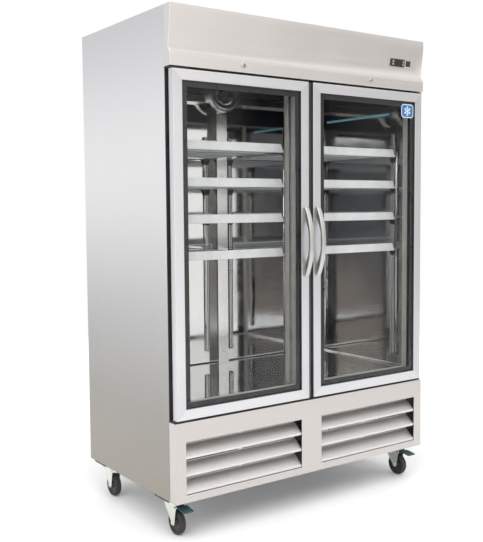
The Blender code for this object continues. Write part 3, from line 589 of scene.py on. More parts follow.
def make_cabinet_sheets():
    """Shell, back, header, lower pan, louvres, machine floor and hinge brackets."""
    refine("outer_shell", (SHELL_STEEL,), fold=0.0010)
    back = refine("back_panel", (SHELL_STEEL,), trim=0.0004)
    back.data.transform(Matrix.Translation((0, -SCREW_RISE, 0)))
    refine("header_canopy", (FRONT_STEEL,), fold=0.0022, steps=3)
    refine("lower_front_panel", (PAN_STEEL_PAINTED_SHADE,), fold=0.0018, steps=3)
    refine("base_pan", (GALVANISED,), fold=0.0010)
    for side in SIDES:
        refine("louvre_" + side, (LOUVRE_STEEL_PAINTED_LIGHT,), trim=0.0004)
        for level in ("top", "bottom"):
            refine(f"hinge_bracket_{level}_{side}", (BLACK_STEEL,), trim=0.0006)
    for place in ("front", "rear"):
        refine("caster_channel_" + place, (BLACK_STEEL,), fold=0.0012)


def make_screws():
    """Screws of the back sheet, the louvre frames and the rear duct, as one piece."""
    shape = bmesh.new()
    low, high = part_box("back_panel")
    margin, rows = 0.014, 9
    louvre_rows, louvre_columns = (0.176, 0.406), (0.075, 0.346, 0.620)
    duct_rows, duct_margin = 5, 0.060
    for row in range(rows):
        height = low.z + margin + (high.z - low.z - 2 * margin) * row / (rows - 1)
        for across in (low.x + margin, high.x - margin):
            face = high.y - SCREW_RISE
            add_turned(shape, [(face, 0.0042), (face + 0.0003, 0.0036), (face + 0.0003, 0)],
                       "Y", (across, 0, height), 0, 20)
            for wide, tall in ((0.0022, 0.0004), (0.0004, 0.0022)):
                add_box(shape, (across - wide, face, height - tall),
                        (across + wide, high.y, height + tall), 1)
    for side in SIDES.values():
        for height in louvre_rows:
            for across in louvre_columns:
                screw_head(shape, (side * across, FRONT, height), 0.0036)
    pitch = (DUCT_HIGH.z - DUCT_LOW.z - 2 * duct_margin) / (duct_rows - 1)
    for step in range(duct_rows):
        height = DUCT_LOW.z + duct_margin + step * pitch
        screw_head(shape, (0, DUCT_LOW.y, height), 0.0035)
    add_piece("cabinet_screws", shape, "cabinet", (SCREW_ZINC, BLACK_PLASTIC))


def on_recess(shape, across, height):
    """Lean a shape made about the origin onto the header's recessed face."""
    share = (RECESS_TOP - height) / (RECESS_TOP - RECESS_BOTTOM)
    lean = Matrix.Rotation(atan2(RECESS_DEPTH, RECESS_TOP - RECESS_BOTTOM), 4, "X")
    spot = Matrix.Translation((across, FRONT + RECESS_DEPTH * share, height))
    bmesh.ops.transform(shape, matrix=spot @ lean, verts=shape.verts)


def make_controls():
    """Temperature controller with its window and keys, the switch and its bezel."""
    low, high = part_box("controller")
    middle = (low + high) / 2
    half_x = (high.x - low.x) / 2
    shape = bmesh.new()
    outline = rounded_rectangle((-half_x, -0.0170), (half_x, 0.0170), 0.0035)
    add_prism(shape, outline, "XZ", -0.0042, -0.0003, 0)
    round_edges(shape, sharp_edges(shape, angle=60), 0.0008, 2)
    window = rounded_rectangle((-half_x * 0.46, -0.0118), (half_x * 0.60, 0.0118), 0.0015)
    add_prism(shape, window, "XZ", -0.0046, -0.0040, 1)
    for row in (-0.0062, 0.0062):
        for start, end in ((-0.80, -0.56), (0.70, 0.88)):
            key = rounded_rectangle((half_x * start, row - 0.0048), (half_x * end, row + 0.0048),
                                    0.0015)
            add_prism(shape, key, "XZ", -0.0047, -0.0040, 2)
    add_box(shape, (-0.0370, -0.0005, -0.0140), (0.0370, 0.0240, 0.0140), 0, 0.0008)
    on_recess(shape, middle.x, CONTROLLER_HEIGHT)
    add_piece("controller_face", shape, "cabinet",
              (BLACK_PLASTIC, BLACK_GLAZE, GREY_PLASTIC), ("controller",))

    low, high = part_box("rocker_switch")
    shape = bmesh.new()
    outer = rounded_rectangle((-0.0132, -0.0122), (0.0132, 0.0122), 0.0020)
    inner = rounded_rectangle((-0.0112, -0.0108), (0.0112, 0.0108), 0.0008)
    rings = []
    for points, depth in ((outer, -0.0003), (outer, -0.0018), (inner, -0.0022), (inner, -0.0003)):
        rings.append([shape.verts.new((x, depth, z)) for x, z in points])
    for first, second in zip(rings, rings[1:]):
        bridge(shape, first, second)
    on_recess(shape, (low.x + high.x) / 2, SWITCH_HEIGHT)
    bezel = add_piece("switch_bezel", shape, "cabinet", (BLACK_PLASTIC,))
    wall = bezel.modifiers.new("wall", "SOLIDIFY")
    wall.thickness = 0.0004
    wall.offset = 1
    refine("rocker_switch", (BLACK_PLASTIC,), trim=0.0006)


def make_locks():
    """Key locks with a face ring and a keyway."""
    for side in SIDES:
        node = "lock_" + side
        spot = Vector(JOINTS[f"lock_{side}_turn"]["pos_m"])
        refine(node, (CHROME,), trim=0.0006)
        shape = bmesh.new()
        face = -0.0035
        add_turned(shape, [(face, 0.0060), (face - 0.0006, 0.0058), (face - 0.0006, 0)], "Y",
                   spot, 0, 28)
        add_box(shape, spot + Vector((-0.0008, face - 0.0008, -0.0040)),
                spot + Vector((0.0008, face, 0.0040)), 1)
        add_piece(f"lock_{side}_keyway", shape, node, (CHROME, BLACK_PLASTIC))


def make_liner():
    """Polished compartment with coved corners, breaker strips and a thin black sheet on the flange
    round the opening and the mullion, which is painted shade.
    """
    refine("inner_liner", (LINER_STEEL,), trim=0)
    refine("center_mullion", (TRIM_STEEL,), fold=0.0012)
    radius = 0.009
    cove = [(0, 0), (radius, 0)] + arc_points((radius, radius), radius, 270, 180, 5)[1:]
    shape = bmesh.new()
    ceiling = COVER_HIGH.z
    for way in SIDES.values():
        wall = way * INNER_X
        add_prism(shape, [(wall - way * u, INNER_BACK - v) for u, v in cove], "XY", FLOOR, ceiling)
        add_prism(shape, [(wall - way * u, FLOOR + v) for u, v in cove], "XZ", FLANGE + 0.004,
                  INNER_BACK)
    add_prism(shape, [(INNER_BACK - u, FLOOR + v) for u, v in cove], "YZ", -INNER_X, INNER_X)
    add_piece("liner_coving", as_mesh(shape, "liner_coving", 40), "cabinet",
              (LINER_STEEL,))

    shape = bmesh.new()
    strip = [(0.0002, FLANGE + 0.0014), (0.0016, FLANGE + 0.0014), (0.0022, FLANGE + 0.0060),
             (0.0022, FLANGE + 0.0290), (0.0016, FLANGE + 0.0320), (0.0002, FLANGE + 0.0320)]
    mitred_ring(shape, (-INNER_X, FLOOR), (INNER_X, OPENING_TOP), strip)
    for way in SIDES.values():
        edge = way * POST_HIGH.x
        near, far = sorted((edge, edge + way * 0.0016))
        for start in (0.006, 0.050):
            add_box(shape, (near, FLANGE + start, FLOOR + 0.002),
                    (far, FLANGE + start + 0.026, OPENING_TOP - 0.002), 0, 0.0005)
    add_piece("breaker_strips", shape, "cabinet", (BREAKER,))

    shape = bmesh.new()
    add_box(shape, (0.001 - INNER_X, FLANGE + 0.0016, OPENING_TOP + 0.001),
            (INNER_X - 0.001, FLANGE + 0.0060, COVER_HIGH.z), 0, 0.0012)
    rib_start, rib_pitch = 0.050, 0.055
    for rib in range(3):
        height = OPENING_TOP + rib_start + rib_pitch * rib
        add_box(shape, (0.020 - INNER_X, FLANGE + 0.0055, height - 0.003),
                (INNER_X - 0.020, FLANGE + 0.0080, height + 0.003), 0, 0.0010)
    add_piece("header_breaker", shape, "cabinet", (BLACK_PLASTIC,))

    # A thin black sheet over the flange face round the opening and on the mullion: painted shade
    # where the gaps round the doors look dark.
    shape = bmesh.new()
    thin = 0.00018
    outer_x, bottom, top = 0.6833, 0.4766, 1.862
    bars = [((-outer_x, bottom), (outer_x, FLOOR)),
            ((-outer_x, OPENING_TOP), (outer_x, top)),
            ((-outer_x, FLOOR), (-INNER_X, OPENING_TOP)),
            ((INNER_X, FLOOR), (outer_x, OPENING_TOP)),
            ((-POST_HIGH.x, FLOOR), (POST_HIGH.x, OPENING_TOP))]
    for low, high in bars:
        add_box(shape, (low[0], FLANGE - thin, low[1]), (high[0], FLANGE, high[1]))
    add_piece("painted_shade_flange", shape, "cabinet", (BLACK_STEEL,))


# ---- shelf strips and clips
STRIP_DEPTH = 0.010
STRIP_HALF = 0.010
STRIP_BACKING = [(-0.0045, 0.0035), (0.0045, 0.0035), (0.0045, 0.0055), (-0.0045, 0.0055)]
SEAT_DROP = 0.0313
POST_STRIP_X = 0.036
POST_STRIP_SQUASH = 0.6


def slotted_strip(shape, put, low, high):
    """Channel with a row of slots; put maps (across, out, up) to a place."""
    pitch, slot, slot_half, depth = 0.0127, 0.0080, 0.0021, STRIP_DEPTH
    cells = int((high - low) / pitch)

    def quad(*corners):
        shape.faces.new([shape.verts.new(put(*corner)) for corner in corners])

    for side in (-1, 1):
        outer, inner = side * STRIP_HALF, side * slot_half
        quad((outer, 0, low), (outer, depth, low), (outer, depth, high), (outer, 0, high))
        for cell in range(cells):
            base = low + pitch * cell
            head = high if cell == cells - 1 else base + pitch
            for start, end in ((base, base + slot), (base + slot, head)):
                quad((outer, depth, start), (inner, depth, start), (inner, depth, end),
                     (outer, depth, end))
    for cell in range(cells):
        base = low + pitch * cell
        head = high if cell == cells - 1 else base + pitch
        quad((-slot_half, depth, base + slot), (slot_half, depth, base + slot),
             (slot_half, depth, head), (-slot_half, depth, head))


def shelf_clip(shape, put, seat, reach):
    """Black clip: an upright trapezoid on the strip and a ledge under the shelf."""
    thick = 0.0020
    half_top, half_low, tall = 0.0215, 0.0100, 0.028
    start = STRIP_DEPTH + 0.0004
    outline = [(-half_top, seat), (half_top, seat), (half_low, seat - tall),
               (-half_low, seat - tall)]
    loft(shape, *([shape.verts.new(put(u, out, w)) for u, w in outline]
                  for out in (start, start + thick)))
    ledge = [(start, seat - thick), (reach, seat - thick), (reach, seat), (start, seat)]
    loft(shape, *([shape.verts.new(put(u, out, w)) for out, w in ledge]
                  for u in (-half_low, half_low)))


def strip_places():
    """Each shelf strip's node with its (mapping, reach of its clips) pairs."""
    found = {}
    for side, way in SIDES.items():
        for place in ("front", "rear"):
            node = f"pilaster_{place}_{side}"
            low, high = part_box(node)
            wall = high.x if way > 0 else low.x
            middle = (low.y + high.y) / 2
            found[node] = [(lambda u, v, w, a=wall, b=way, c=middle:
                            Vector((a - b * v, c + u, w)), high.x - low.x)]
        node = f"pilaster_rear_center_{side}"
        low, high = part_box(node)
        middle = (low.x + high.x) / 2
        found[node] = [(lambda u, v, w, a=middle, b=high.y: Vector((a + u, b - v, w)),
                        high.y - low.y)]
    low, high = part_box("pilaster_front_center")
    found["pilaster_front_center"] = [
        (lambda u, v, w, a=way * POST_STRIP_X, b=low.y:
         Vector((a + u, b + v * POST_STRIP_SQUASH, w)), 0.0)
        for way in SIDES.values()]
    return found


def make_strips():
    """Slotted shelf strips, and black clips below every shelf."""
    tops = [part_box(f"shelf_left_{level}")[1].z for level in LEVELS]
    for node, places in strip_places().items():
        low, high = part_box(node)
        shape = bmesh.new()
        clips = bmesh.new()
        for put, reach in places:
            slotted_strip(shape, put, low.z, high.z)
            bridge(clips, *([clips.verts.new(put(u, v, height)) for u, v in STRIP_BACKING]
                            for height in (low.z + 0.001, high.z - 0.001)))
            if reach:
                for top in tops:
                    shelf_clip(clips, put, top - SEAT_DROP, reach)
        if node == "pilaster_front_center":
            for top in tops:
                seat = top - SEAT_DROP
                add_box(clips, (low.x, low.y + 0.007, seat - 0.0020), (high.x, high.y, seat), 0)
                for way in SIDES.values():
                    outline = [(way * 0.014, seat - 0.028), (way * 0.040, seat - 0.028),
                               (way * 0.060, seat), (way * 0.014, seat)]
                    add_prism(clips, outline, "XZ", low.y + 0.0070, low.y + 0.0088)
        bmesh.ops.remove_doubles(shape, verts=shape.verts, dist=0.00001)
        strip = add_piece(node + "_strip", shape, "cabinet",
                          (LINER_STEEL,), (node,))
        wall = strip.modifiers.new("wall", "SOLIDIFY")
        wall.thickness = 0.0010
        wall.offset = -1
        add_piece(node + "_clips", clips, "cabinet", (BLACK_PLASTIC,))


# ---- shelves
LIP_TALL = 0.036
LIP_SLANT = 0.014


def lip_mesh(half, left_inset, right_inset):
    """Folded ticket lip with slanted ends, about the middle of its top edge."""
    thick, hem, turn = 0.0012, 0.0070, 0.0040
    section = [(0, -LIP_TALL + 0.0010), (0, -0.0010), (0.0010, 0), (hem, 0), (hem, -turn),
               (hem - thick, -turn), (hem - thick, -thick), (thick, -thick),
               (thick, thick - LIP_TALL), (hem - thick, thick - LIP_TALL),
               (hem - thick, turn - LIP_TALL), (hem, turn - LIP_TALL), (hem, -LIP_TALL),
               (0.0010, -LIP_TALL)]
    shape = bmesh.new()
    rings = []
    for way, inset in ((-1, left_inset), (1, right_inset)):
        ring = []
        for depth, height in section:
            rise = (height + LIP_TALL) / LIP_TALL
            ring.append(shape.verts.new((way * (half - inset - LIP_SLANT * rise), depth, height)))
        rings.append(ring)
    loft(shape, *rings)
    return as_mesh(shape, "shelf_lip")


def shelf_paths(half, depth):
    """Wire runs of one shelf about the middle of its front edge, thin and thick."""
    count = 27
    inset = 0.0045
    thin = []
    for wire in range(count):
        x = -half + inset + 0.012 + (2 * half - 2 * inset - 0.024) * wire / (count - 1)
        thin.append([(x, 0.004, -0.0278), (x, depth - 0.003, -0.0278)])
    thick = []
    for share in (0.035, 0.27, 0.51, 0.75, 0.965):
        thick.append([(-half + inset, depth * share, -0.0288),
                      (half - inset, depth * share, -0.0288)])
    edge = half - 0.0045
    for way in (-1, 1):
        thick.append([(way * edge, 0.002, -0.0286), (way * edge, depth - 0.0025, -0.0286)])
    bend = 0.008
    rim = [(-edge, -0.0286), (-edge, -0.0125)]
    rim += arc_points((-edge + bend, -0.0105), bend, 180, 90, 5)
    rim += [(-x, z) for x, z in reversed(rim)]
    thick.append([(x, depth - 0.0027, z) for x, z in rim])
    return thin, thick


def make_shelves():
    """Wire shelves with a folded ticket lip, all from one pattern."""
    low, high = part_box("shelf_left_1")
    half = (high.x - low.x) / 2
    depth = high.y - low.y
    thin, thick = shelf_paths(half, depth)
    lip = lip_mesh(half, 0.002, 0.010)
    lip.materials.append(LIP_COAT)
    for side in SIDES:
        for level in LEVELS:
            node = f"shelf_{side}_{level}"
            low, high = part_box(node)
            spot = Vector(((low.x + high.x) / 2, low.y, high.z))
            for part, paths, radius in (("wires", thin, 0.00175), ("frame", thick, 0.0022)):
                moved = [[Vector(point) + spot for point in path] for path in paths]
                wires(f"{node}_{part}", moved, radius, node, SHELF_COAT,
                      replaces=(node,) if part == "frame" else ())
            piece = bpy.data.objects.new(node + "_lip", lip)
            bpy.context.scene.collection.objects.link(piece)
            piece.location = spot
            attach(piece, node)


# ---- cooling
COVER_RING = 0.028


def make_cooling():
    """Evaporator cover with its fan guard, the duct, and the machine compartment."""
    refine("evaporator_cover", (COVER_STEEL,), fold=0.0012)
    refine("rear_duct", (COVER_STEEL,), fold=0.0010)
    middle = Vector(JOINTS["evaporator_fan_spin"]["pos_m"])
    guard_y = COVER_LOW.y + 0.0030
    shape = bmesh.new()
    dish = [(0.0030, 0.0795), (-0.0010, 0.0770), (-0.0018, 0.0700), (-0.0010, 0.0560),
            (0.0024, 0.0490), (0.0060, 0.0475)]
    add_turned(shape, dish, "Y", (middle.x, guard_y, middle.z), 0, 64)
    bmesh.ops.delete(shape, geom=[face for face in shape.faces if len(face.verts) > 4],
                     context="FACES_ONLY")
    add_piece("evaporator_guard_dish", shape, "cabinet", (COVER_STEEL,))
    bars = []
    bar_pitch, bar_reach = 0.0105, 0.0485
    for bar in range(-4, 5):
        across = bar_pitch * bar
        half = sqrt(bar_reach ** 2 - across ** 2)
        bars.append([(middle.x + across, guard_y + 0.0030, middle.z - half),
                     (middle.x + across, guard_y + 0.0030, middle.z + half)])
    wires("evaporator_guard_bars", bars, 0.0014, "cabinet", COVER_STEEL)
    # Black strips just behind the cover's slots: painted shade in the openings.
    shape = bmesh.new()
    face = COVER_LOW.y + COVER_RING
    for way in SIDES.values():
        near, far = sorted((way * 0.100, way * 0.570))
        add_box(shape, (near, face + 0.0014, 1.8395), (far, face + 0.0030, 1.8555))
    add_piece("evaporator_slot_painted_shade", shape, "cabinet", (BLACK_PLASTIC,))
    for node in ("evaporator_fan", "condenser_fan"):
        refine(node, (BLACK_PLASTIC,), trim=0.0003)
    for node in ("evaporator_coil", "condenser_coil"):
        dress(node, FINS)
    dress("insulation_foam", FOAM)
    refine("compressor", (BLACK_STEEL,), trim=0.0008)
    low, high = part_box("compressor")
    coil_low, coil_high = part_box("condenser_coil")
    start = Vector(((low.x + high.x) / 2 + 0.02, (low.y + high.y) / 2 - 0.03, high.z - 0.02))
    rise = high.z + 0.035
    runs = []
    for step, height in enumerate((0.40, 0.24)):
        offset = Vector((0.03 * step, -0.02 * step, 0))
        path = [start + offset, Vector((start.x, start.y, rise)) + offset,
                Vector((start.x + 0.03, start.y, rise + 0.01)) + offset,
                Vector((coil_low.x - 0.03, coil_high.y + 0.02, rise + 0.01 - 0.02 * step)),
                Vector((coil_low.x - 0.012, coil_high.y, height)),
                Vector((coil_low.x + 0.004, (coil_low.y + coil_high.y) / 2, height - 0.01))]
        runs.append(path)
    wires("refrigerant_pipes", runs, 0.0035, "cabinet", COPPER, facets=3)


def make_lamps():
    """A slim lamp on each side wall below the top of the opening."""
    for side, way in SIDES.items():
        wall = way * INNER_X
        shape = bmesh.new()
        start, end, height = FRONT + 0.180, FRONT + 0.610, 1.750
        outline = [(wall, height - 0.005), (wall - way * 0.003, height - 0.005)]
        for x, z in arc_points((0.003, 0), 0.005, -80, 80, 8):
            outline.append((wall - way * x, height + z))
        outline += [(wall - way * 0.003, height + 0.005), (wall, height + 0.005)]
        add_prism(shape, outline, "XZ", start, end, 0)
        for depth in (start - 0.006, end):
            x0, x1 = sorted((wall, wall - way * 0.0090))
            add_box(shape, (x0, depth, height - 0.0060), (x1, depth + 0.006, height + 0.0060), 1,
                    0.0010)
        add_piece(f"lamp_{side}", shape, "cabinet", (LAMP, GREY_PLASTIC))


# ---- doors
def mirrored_span(low, high, way):
    """x range of the right-hand door's span on either side."""
    return (low, high) if way > 0 else (-high, -low)


def make_door(side):
    """Mitred frame, insulated glass unit, folded gasket and bow handle of one door."""
    way = SIDES[side]
    body = "door_" + side
    back = DOOR_HIGH.y
    wide = GLASS_LOW.x - DOOR_LOW.x - 0.0003
    left, right = mirrored_span(DOOR_LOW.x, DOOR_HIGH.x, way)
    corners = ((left, DOOR_LOW.z), (right, DOOR_HIGH.z))
    shape = bmesh.new()
    section = [(0.0, back), (0.0, back - 0.009), (0.0006, back - 0.0096), (0.0006, back - 0.0112),
               (0.0, back - 0.0118), (0.0, FRONT + 0.0030), (0.0009, FRONT + 0.0009),
               (0.0030, FRONT), (wide - 0.0026, FRONT), (wide - 0.0008, FRONT + 0.0008),
               (wide, FRONT + 0.0026), (wide, back)]
    mitred_ring(shape, *corners, section, 0.00025, 0, 1)
    add_piece(f"door_{side}_frame", as_mesh(shape, body, 28), body,
              (FRAME_UPRIGHT_PAINTED_HIGHLIGHT, FRAME_ACROSS), ("door_frame_" + side,))

    shape = bmesh.new()
    face = GLASS_LOW.y
    bead = [(wide - 0.0004, face - 0.0012), (wide + 0.0016, face - 0.0014),
            (wide + 0.0034, face - 0.0002), (wide + 0.0034, face), (wide - 0.0004, face)]
    mitred_ring(shape, *corners, bead)
    bead = [(wide - 0.0004, GLASS_HIGH.y), (wide + 0.0040, GLASS_HIGH.y),
            (wide + 0.0040, GLASS_HIGH.y + 0.0030), (wide - 0.0004, back - 0.0006)]
    mitred_ring(shape, *corners, bead)
    add_piece(f"door_{side}_bead", shape, body, (RUBBER,))

    left, right = mirrored_span(GLASS_LOW.x, GLASS_HIGH.x, way)
    pane = 0.0040
    for place, depth in (("outer", face), ("inner", GLASS_HIGH.y - pane)):
        shape = bmesh.new()
        add_box(shape, (left, depth, GLASS_LOW.z), (right, depth + pane, GLASS_HIGH.z), 0, 0.0008,
                1)
        add_piece(f"door_{side}_pane_{place}", shape, body,
                  (PANE_GLASS,), ("door_glass_" + side,) if place == "outer" else ())
    corners = ((left, GLASS_LOW.z), (right, GLASS_HIGH.z))
    shape = bmesh.new()
    behind = face + pane
    border = [(0.0, behind + 0.0001), (0.0240, behind + 0.0001), (0.0240, behind + 0.0004),
              (0.0, behind + 0.0004)]
    mitred_ring(shape, *corners, border, 0, 0, 0)
    inner = GLASS_HIGH.y - pane
    spacer = [(0.0060, behind + 0.0006), (0.0060, inner - 0.0001), (0.0140, inner - 0.0001),
              (0.0155, inner - 0.0020), (0.0155, behind + 0.0025), (0.0140, behind + 0.0006)]
    mitred_ring(shape, *corners, spacer, 0, 1, 1)
    seal = [(0.0002, behind + 0.0006), (0.0002, inner - 0.0001), (0.0059, inner - 0.0001),
            (0.0059, behind + 0.0006)]
    mitred_ring(shape, *corners, seal, 0, 2, 2)
    add_piece(f"door_{side}_spacer", shape, body,
              (BLACK_GLAZE, BLACK_PLASTIC, SEALANT))

    left, right = mirrored_span(GASKET_LOW.x, GASKET_HIGH.x, way)
    shape = bmesh.new()
    root, tip = GASKET_LOW.y, GASKET_HIGH.y
    fold = [(0.0010, root), (0.0190, root), (0.0190, root + 0.0022), (0.0150, root + 0.0040),
            (0.0195, root + 0.0068), (0.0200, root + 0.0095), (0.0185, tip - 0.0006),
            (0.0170, tip), (0.0030, tip), (0.0015, tip - 0.0006), (0.0, root + 0.0095),
            (0.0005, root + 0.0068), (0.0050, root + 0.0040), (0.0010, root + 0.0022)]
    mitred_ring(shape, (left, GASKET_LOW.z), (right, GASKET_HIGH.z), fold, 0.0001)
    add_piece(f"door_{side}_gasket", as_mesh(shape, body, 50), body, (RUBBER,),
              ("door_gasket_" + side,))
    refine("door_handle_" + side, (HANDLE_METAL,), trim=0.0045, steps=4, name=f"door_{side}_bow")


def make_label():
    """Plain rounded label with a snow crystal, on the right-hand door's glass."""
    shape = bmesh.new()
    right, top = GLASS_HIGH.x - 0.010, GLASS_HIGH.z - 0.012
    wide, tall = 0.078, 0.062
    left, bottom = right - wide, top - tall
    face = GLASS_LOW.y
    add_prism(shape, rounded_rectangle((left, bottom), (right, top), 0.016, 8), "XZ",
              face - 0.0004, face - 0.0001, 0)
    rim = 0.0035
    add_prism(shape, rounded_rectangle((left + rim, bottom + rim), (right - rim, top - rim),
                                       0.013, 8), "XZ", face - 0.0006, face - 0.0003, 1)
    middle = Vector(((left + right) / 2, (bottom + top) / 2))
    for arm in range(6):
        angle = radians(90 + 60 * arm)
        along = Vector((cos(angle), sin(angle)))
        side = Vector((-sin(angle), cos(angle)))
        reach, half = 0.022, 0.0016
        bars = [(middle, middle + along * reach, half)]
        for share in (0.45, 0.72):
            root = middle + along * reach * share
            for turn in (-1, 1):
                tip = root + (along * 0.5 + side * turn * 0.866) * reach * 0.30
                bars.append((root, tip, half * 0.75))
        for start, end, width in bars:
            run = (end - start).normalized()
            off = Vector((-run.y, run.x)) * width
            outline = [start - off, end - off, end + off, start + off]
            add_prism(shape, [tuple(point) for point in outline], "XZ", face - 0.0009,
                      face - 0.0005, 0)
    add_piece("door_right_label", shape, "door_right",
              (LABEL_WHITE, LABEL_BLUE))


# ---- casters
WHEEL_R = 0.050
BOLT_X = 0.042
BOLT_Y = 0.036


def make_wheel(label):
    """Tyre with a worn tread, a dished hub and its bearing caps."""
    spot = Vector(JOINTS["caster_roll_" + label]["pos_m"])
    node = "caster_wheel_" + label
    shape = bmesh.new()
    half = 0.0140
    for way in (-1, 1):
        side = [(way * 0.0102, WHEEL_R - 0.0012)]
        side += [(way * (0.0088 + 0.0052 * sin(radians(turn))),
                  WHEEL_R - 0.0064 + 0.0052 * cos(radians(turn))) for turn in (20, 50, 80)]
        side += [(way * half, 0.0380), (way * (half - 0.0015), 0.0360),
                 (way * (half - 0.0045), 0.0345)]
        web = [(way * (half - 0.0045), 0.0345), (way * (half - 0.0055), 0.0300),
               (way * (half - 0.0055), 0.0165), (way * (half - 0.0020), 0.0140),
               (way * half, 0.0125), (way * half, 0.0044), (way * half * 0.5, 0.0044)]
        add_turned(shape, side, "X", spot, 0, 48)
        add_turned(shape, web, "X", spot, 2, 48)
    groove = 0.0030
    tread = [(-0.0102, WHEEL_R - 0.0012), (-0.0085, WHEEL_R - 0.0002)]
    tread += [(-groove - 0.0006, WHEEL_R), (-groove, WHEEL_R - 0.0008),
              (groove, WHEEL_R - 0.0008), (groove + 0.0006, WHEEL_R)]
    tread += [(0.0085, WHEEL_R - 0.0002), (0.0102, WHEEL_R - 0.0012)]
    add_turned(shape, tread, "X", spot, 1, 48)
    caps = [face for face in shape.faces if len(face.verts) > 40]
    bmesh.ops.delete(shape, geom=caps, context="FACES_ONLY")
    bmesh.ops.remove_doubles(shape, verts=shape.verts, dist=0.00001)
    add_piece(node + "_tyre", as_mesh(shape, node, 40), node,
              (TYRE, TREAD, BLACK_PLASTIC), (node,))


def make_casters():
    """Forks, wheels, pedals with ribs, and the channels' bolts."""
    bolts = bmesh.new()
    for place in ("front", "rear"):
        channel_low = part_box("caster_channel_" + place)[0].z
        for side in SIDES:
            label = f"{place}_{side}"
            refine("caster_fork_" + label, (ZINC,), trim=0.0005)
            make_wheel(label)
            swivel = Vector(JOINTS["caster_swivel_" + label]["pos_m"])
            for across in (-BOLT_X, BOLT_X):
                for depth in (-BOLT_Y, BOLT_Y):
                    add_turned(bolts, [(0, 0.0065), (-0.0034, 0.0065), (-0.0040, 0.0058),
                                       (-0.0040, 0)], "Z",
                               (swivel.x + across, swivel.y + depth, channel_low), 0, 6)
                    add_turned(bolts, [(0, 0.0088), (-0.0010, 0.0088), (-0.0010, 0.0050)], "Z",
                               (swivel.x + across, swivel.y + depth, channel_low), 0, 20)
            if place == "front":
                make_pedal(side)
    add_piece("caster_bolts", bolts, "cabinet", (ZINC,))


def make_pedal(side):
    """Brake pedal with raised ribs across its tread."""
    node = "brake_pedal_" + side
    refine(node, (PEDAL,), trim=0.0006)
    spot = Vector(JOINTS[f"brake_pedal_{side}_press"]["pos_m"])
    shape = bmesh.new()
    for rib in range(6):
        out = 0.036 + 0.006 * rib
        height = 0.0062 - (out - 0.030) * (0.0070 / 0.042)
        add_box(shape, spot + Vector((-0.0185, -out - 0.0011, height - 0.0010)),
                spot + Vector((0.0185, -out + 0.0011, height + 0.0011)), 0, 0.0005, 1)
    add_piece(node + "_ribs", shape, node, (PEDAL,))


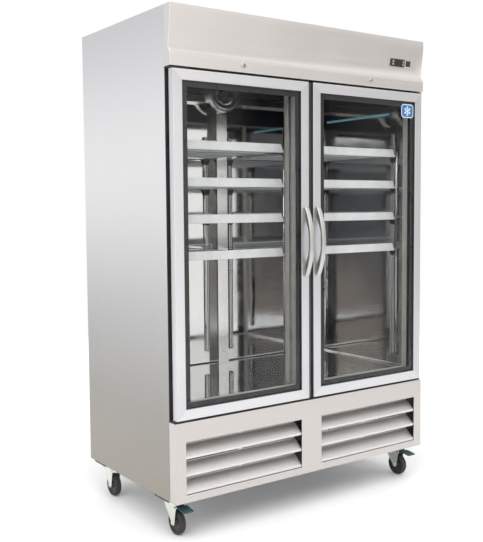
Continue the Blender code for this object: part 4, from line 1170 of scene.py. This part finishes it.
# ---- studio
def make_surround():
    """Bright studio walls, with the darker room that the polished inside mirrors."""
    world = bpy.data.worlds.new("studio")
    world.use_nodes = True
    bpy.context.scene.world = world
    sky = world.node_tree
    ways = add_node(sky, "TexCoord", {}).outputs["Generated"]
    parts = add_node(sky, "SeparateXYZ", {"Vector": ways})
    front = spread(sky, parts.outputs["Y"], 0.0, 1.0, -0.5, 0.2)
    level = blend_colors(sky, front, (1.34, 1.30, 1.27), (1.00, 1.00, 1.01))
    above = spread(sky, parts.outputs["Z"], 0.0, 1.0, 0.35, 0.95)
    level = blend_colors(sky, above, level, (0.80, 0.80, 0.82))

    ahead = arithmetic(sky, "MULTIPLY", parts.outputs["Y"], -1.0)
    bearing = arithmetic(sky, "ARCTAN2", parts.outputs["X"], ahead)
    rise = arithmetic(sky, "ABSOLUTE", arithmetic(sky, "ADD", parts.outputs["Z"], 0.02), 0)
    low_band = spread(sky, rise, 1.0, 0.0, 0.24, 0.34)

    def band(*stops):
        rising = spread(sky, bearing, 0.0, 1.0, radians(stops[0]), radians(stops[1]))
        falling = spread(sky, bearing, 1.0, 0.0, radians(stops[2]), radians(stops[3]))
        return arithmetic(sky, "MULTIPLY", arithmetic(sky, "MULTIPLY", rising, falling),
                          low_band)

    shapes = noise(sky, ways, 5.0, 3.0, 0.55)
    room = blend_colors(sky, spread(sky, shapes, 0.0, 1.0, 0.45, 0.68), (0.10, 0.105, 0.12),
                        (0.52, 0.44, 0.38))
    level = blend_colors(sky, band(36.0, 50.0, 75.0, 95.0), level, (0.62, 0.60, 0.58))
    level = blend_colors(sky, band(34.0, 36.6, 40.5, 44.0), level, (0.075, 0.085, 0.115))
    level = blend_colors(sky, band(-66.0, -56.0, -24.0, -18.0), level, room)
    backdrop = add_node(sky, "LightPath", {}).outputs["Is Camera Ray"]
    level = blend_colors(sky, backdrop, level, (1.0, 1.0, 1.0))
    feed(sky, sky.nodes["Background"], {"Color": level})


def make_studio():
    """Pale floor, a soft lamp on the left, a wide soft sun and the surround."""
    bpy.context.scene.view_settings.view_transform = "Standard"
    shape = bmesh.new()
    reach, sides = 4.8, 96
    rim = arc_points((0, 0), reach, 0, 360, sides)[:-1]
    shape.faces.new([shape.verts.new((x, y, 0)) for x, y in rim])
    mesh = bpy.data.meshes.new("floor")
    shape.to_mesh(mesh)
    shape.free()
    floor = bpy.data.objects.new("floor", mesh)
    bpy.context.scene.collection.objects.link(floor)
    mat, tree, shader = surface("floor", (0.92, 0.92, 0.92), 0.6)
    cloud = noise(tree, space(tree), 1.2, 3.0)
    tone = blend_colors(tree, cloud, (0.91, 0.91, 0.91), (0.93, 0.93, 0.93))
    feed(tree, shader, {"Base Color": tone})
    mesh.materials.append(mat)

    make_surround()

    def lamp(name, spot, target, size, watts):
        data = bpy.data.lights.new(name, "AREA")
        data.shape = "RECTANGLE"
        data.size, data.size_y = size
        data.energy = watts
        made = bpy.data.objects.new(name, data)
        bpy.context.scene.collection.objects.link(made)
        made.location = spot
        aim = Vector(target) - Vector(spot)
        made.rotation_mode = "QUATERNION"
        made.rotation_quaternion = aim.to_track_quat("-Z", "Y")

    lamp("key", (-4.5, -3.4, 3.4), (0, 0, 1.1), (2.6, 2.6), 45)
    data = bpy.data.lights.new("top", "SUN")
    data.angle = radians(60)
    data.energy = 1.5
    made = bpy.data.objects.new("top", data)
    bpy.context.scene.collection.objects.link(made)
    made.rotation_euler = (radians(24), 0, radians(-30))


make_cabinet_sheets()
make_screws()
make_controls()
make_locks()
make_liner()
make_strips()
make_shelves()
make_cooling()
make_lamps()
for door_side in SIDES:
    make_door(door_side)
make_label()
make_casters()
make_studio()
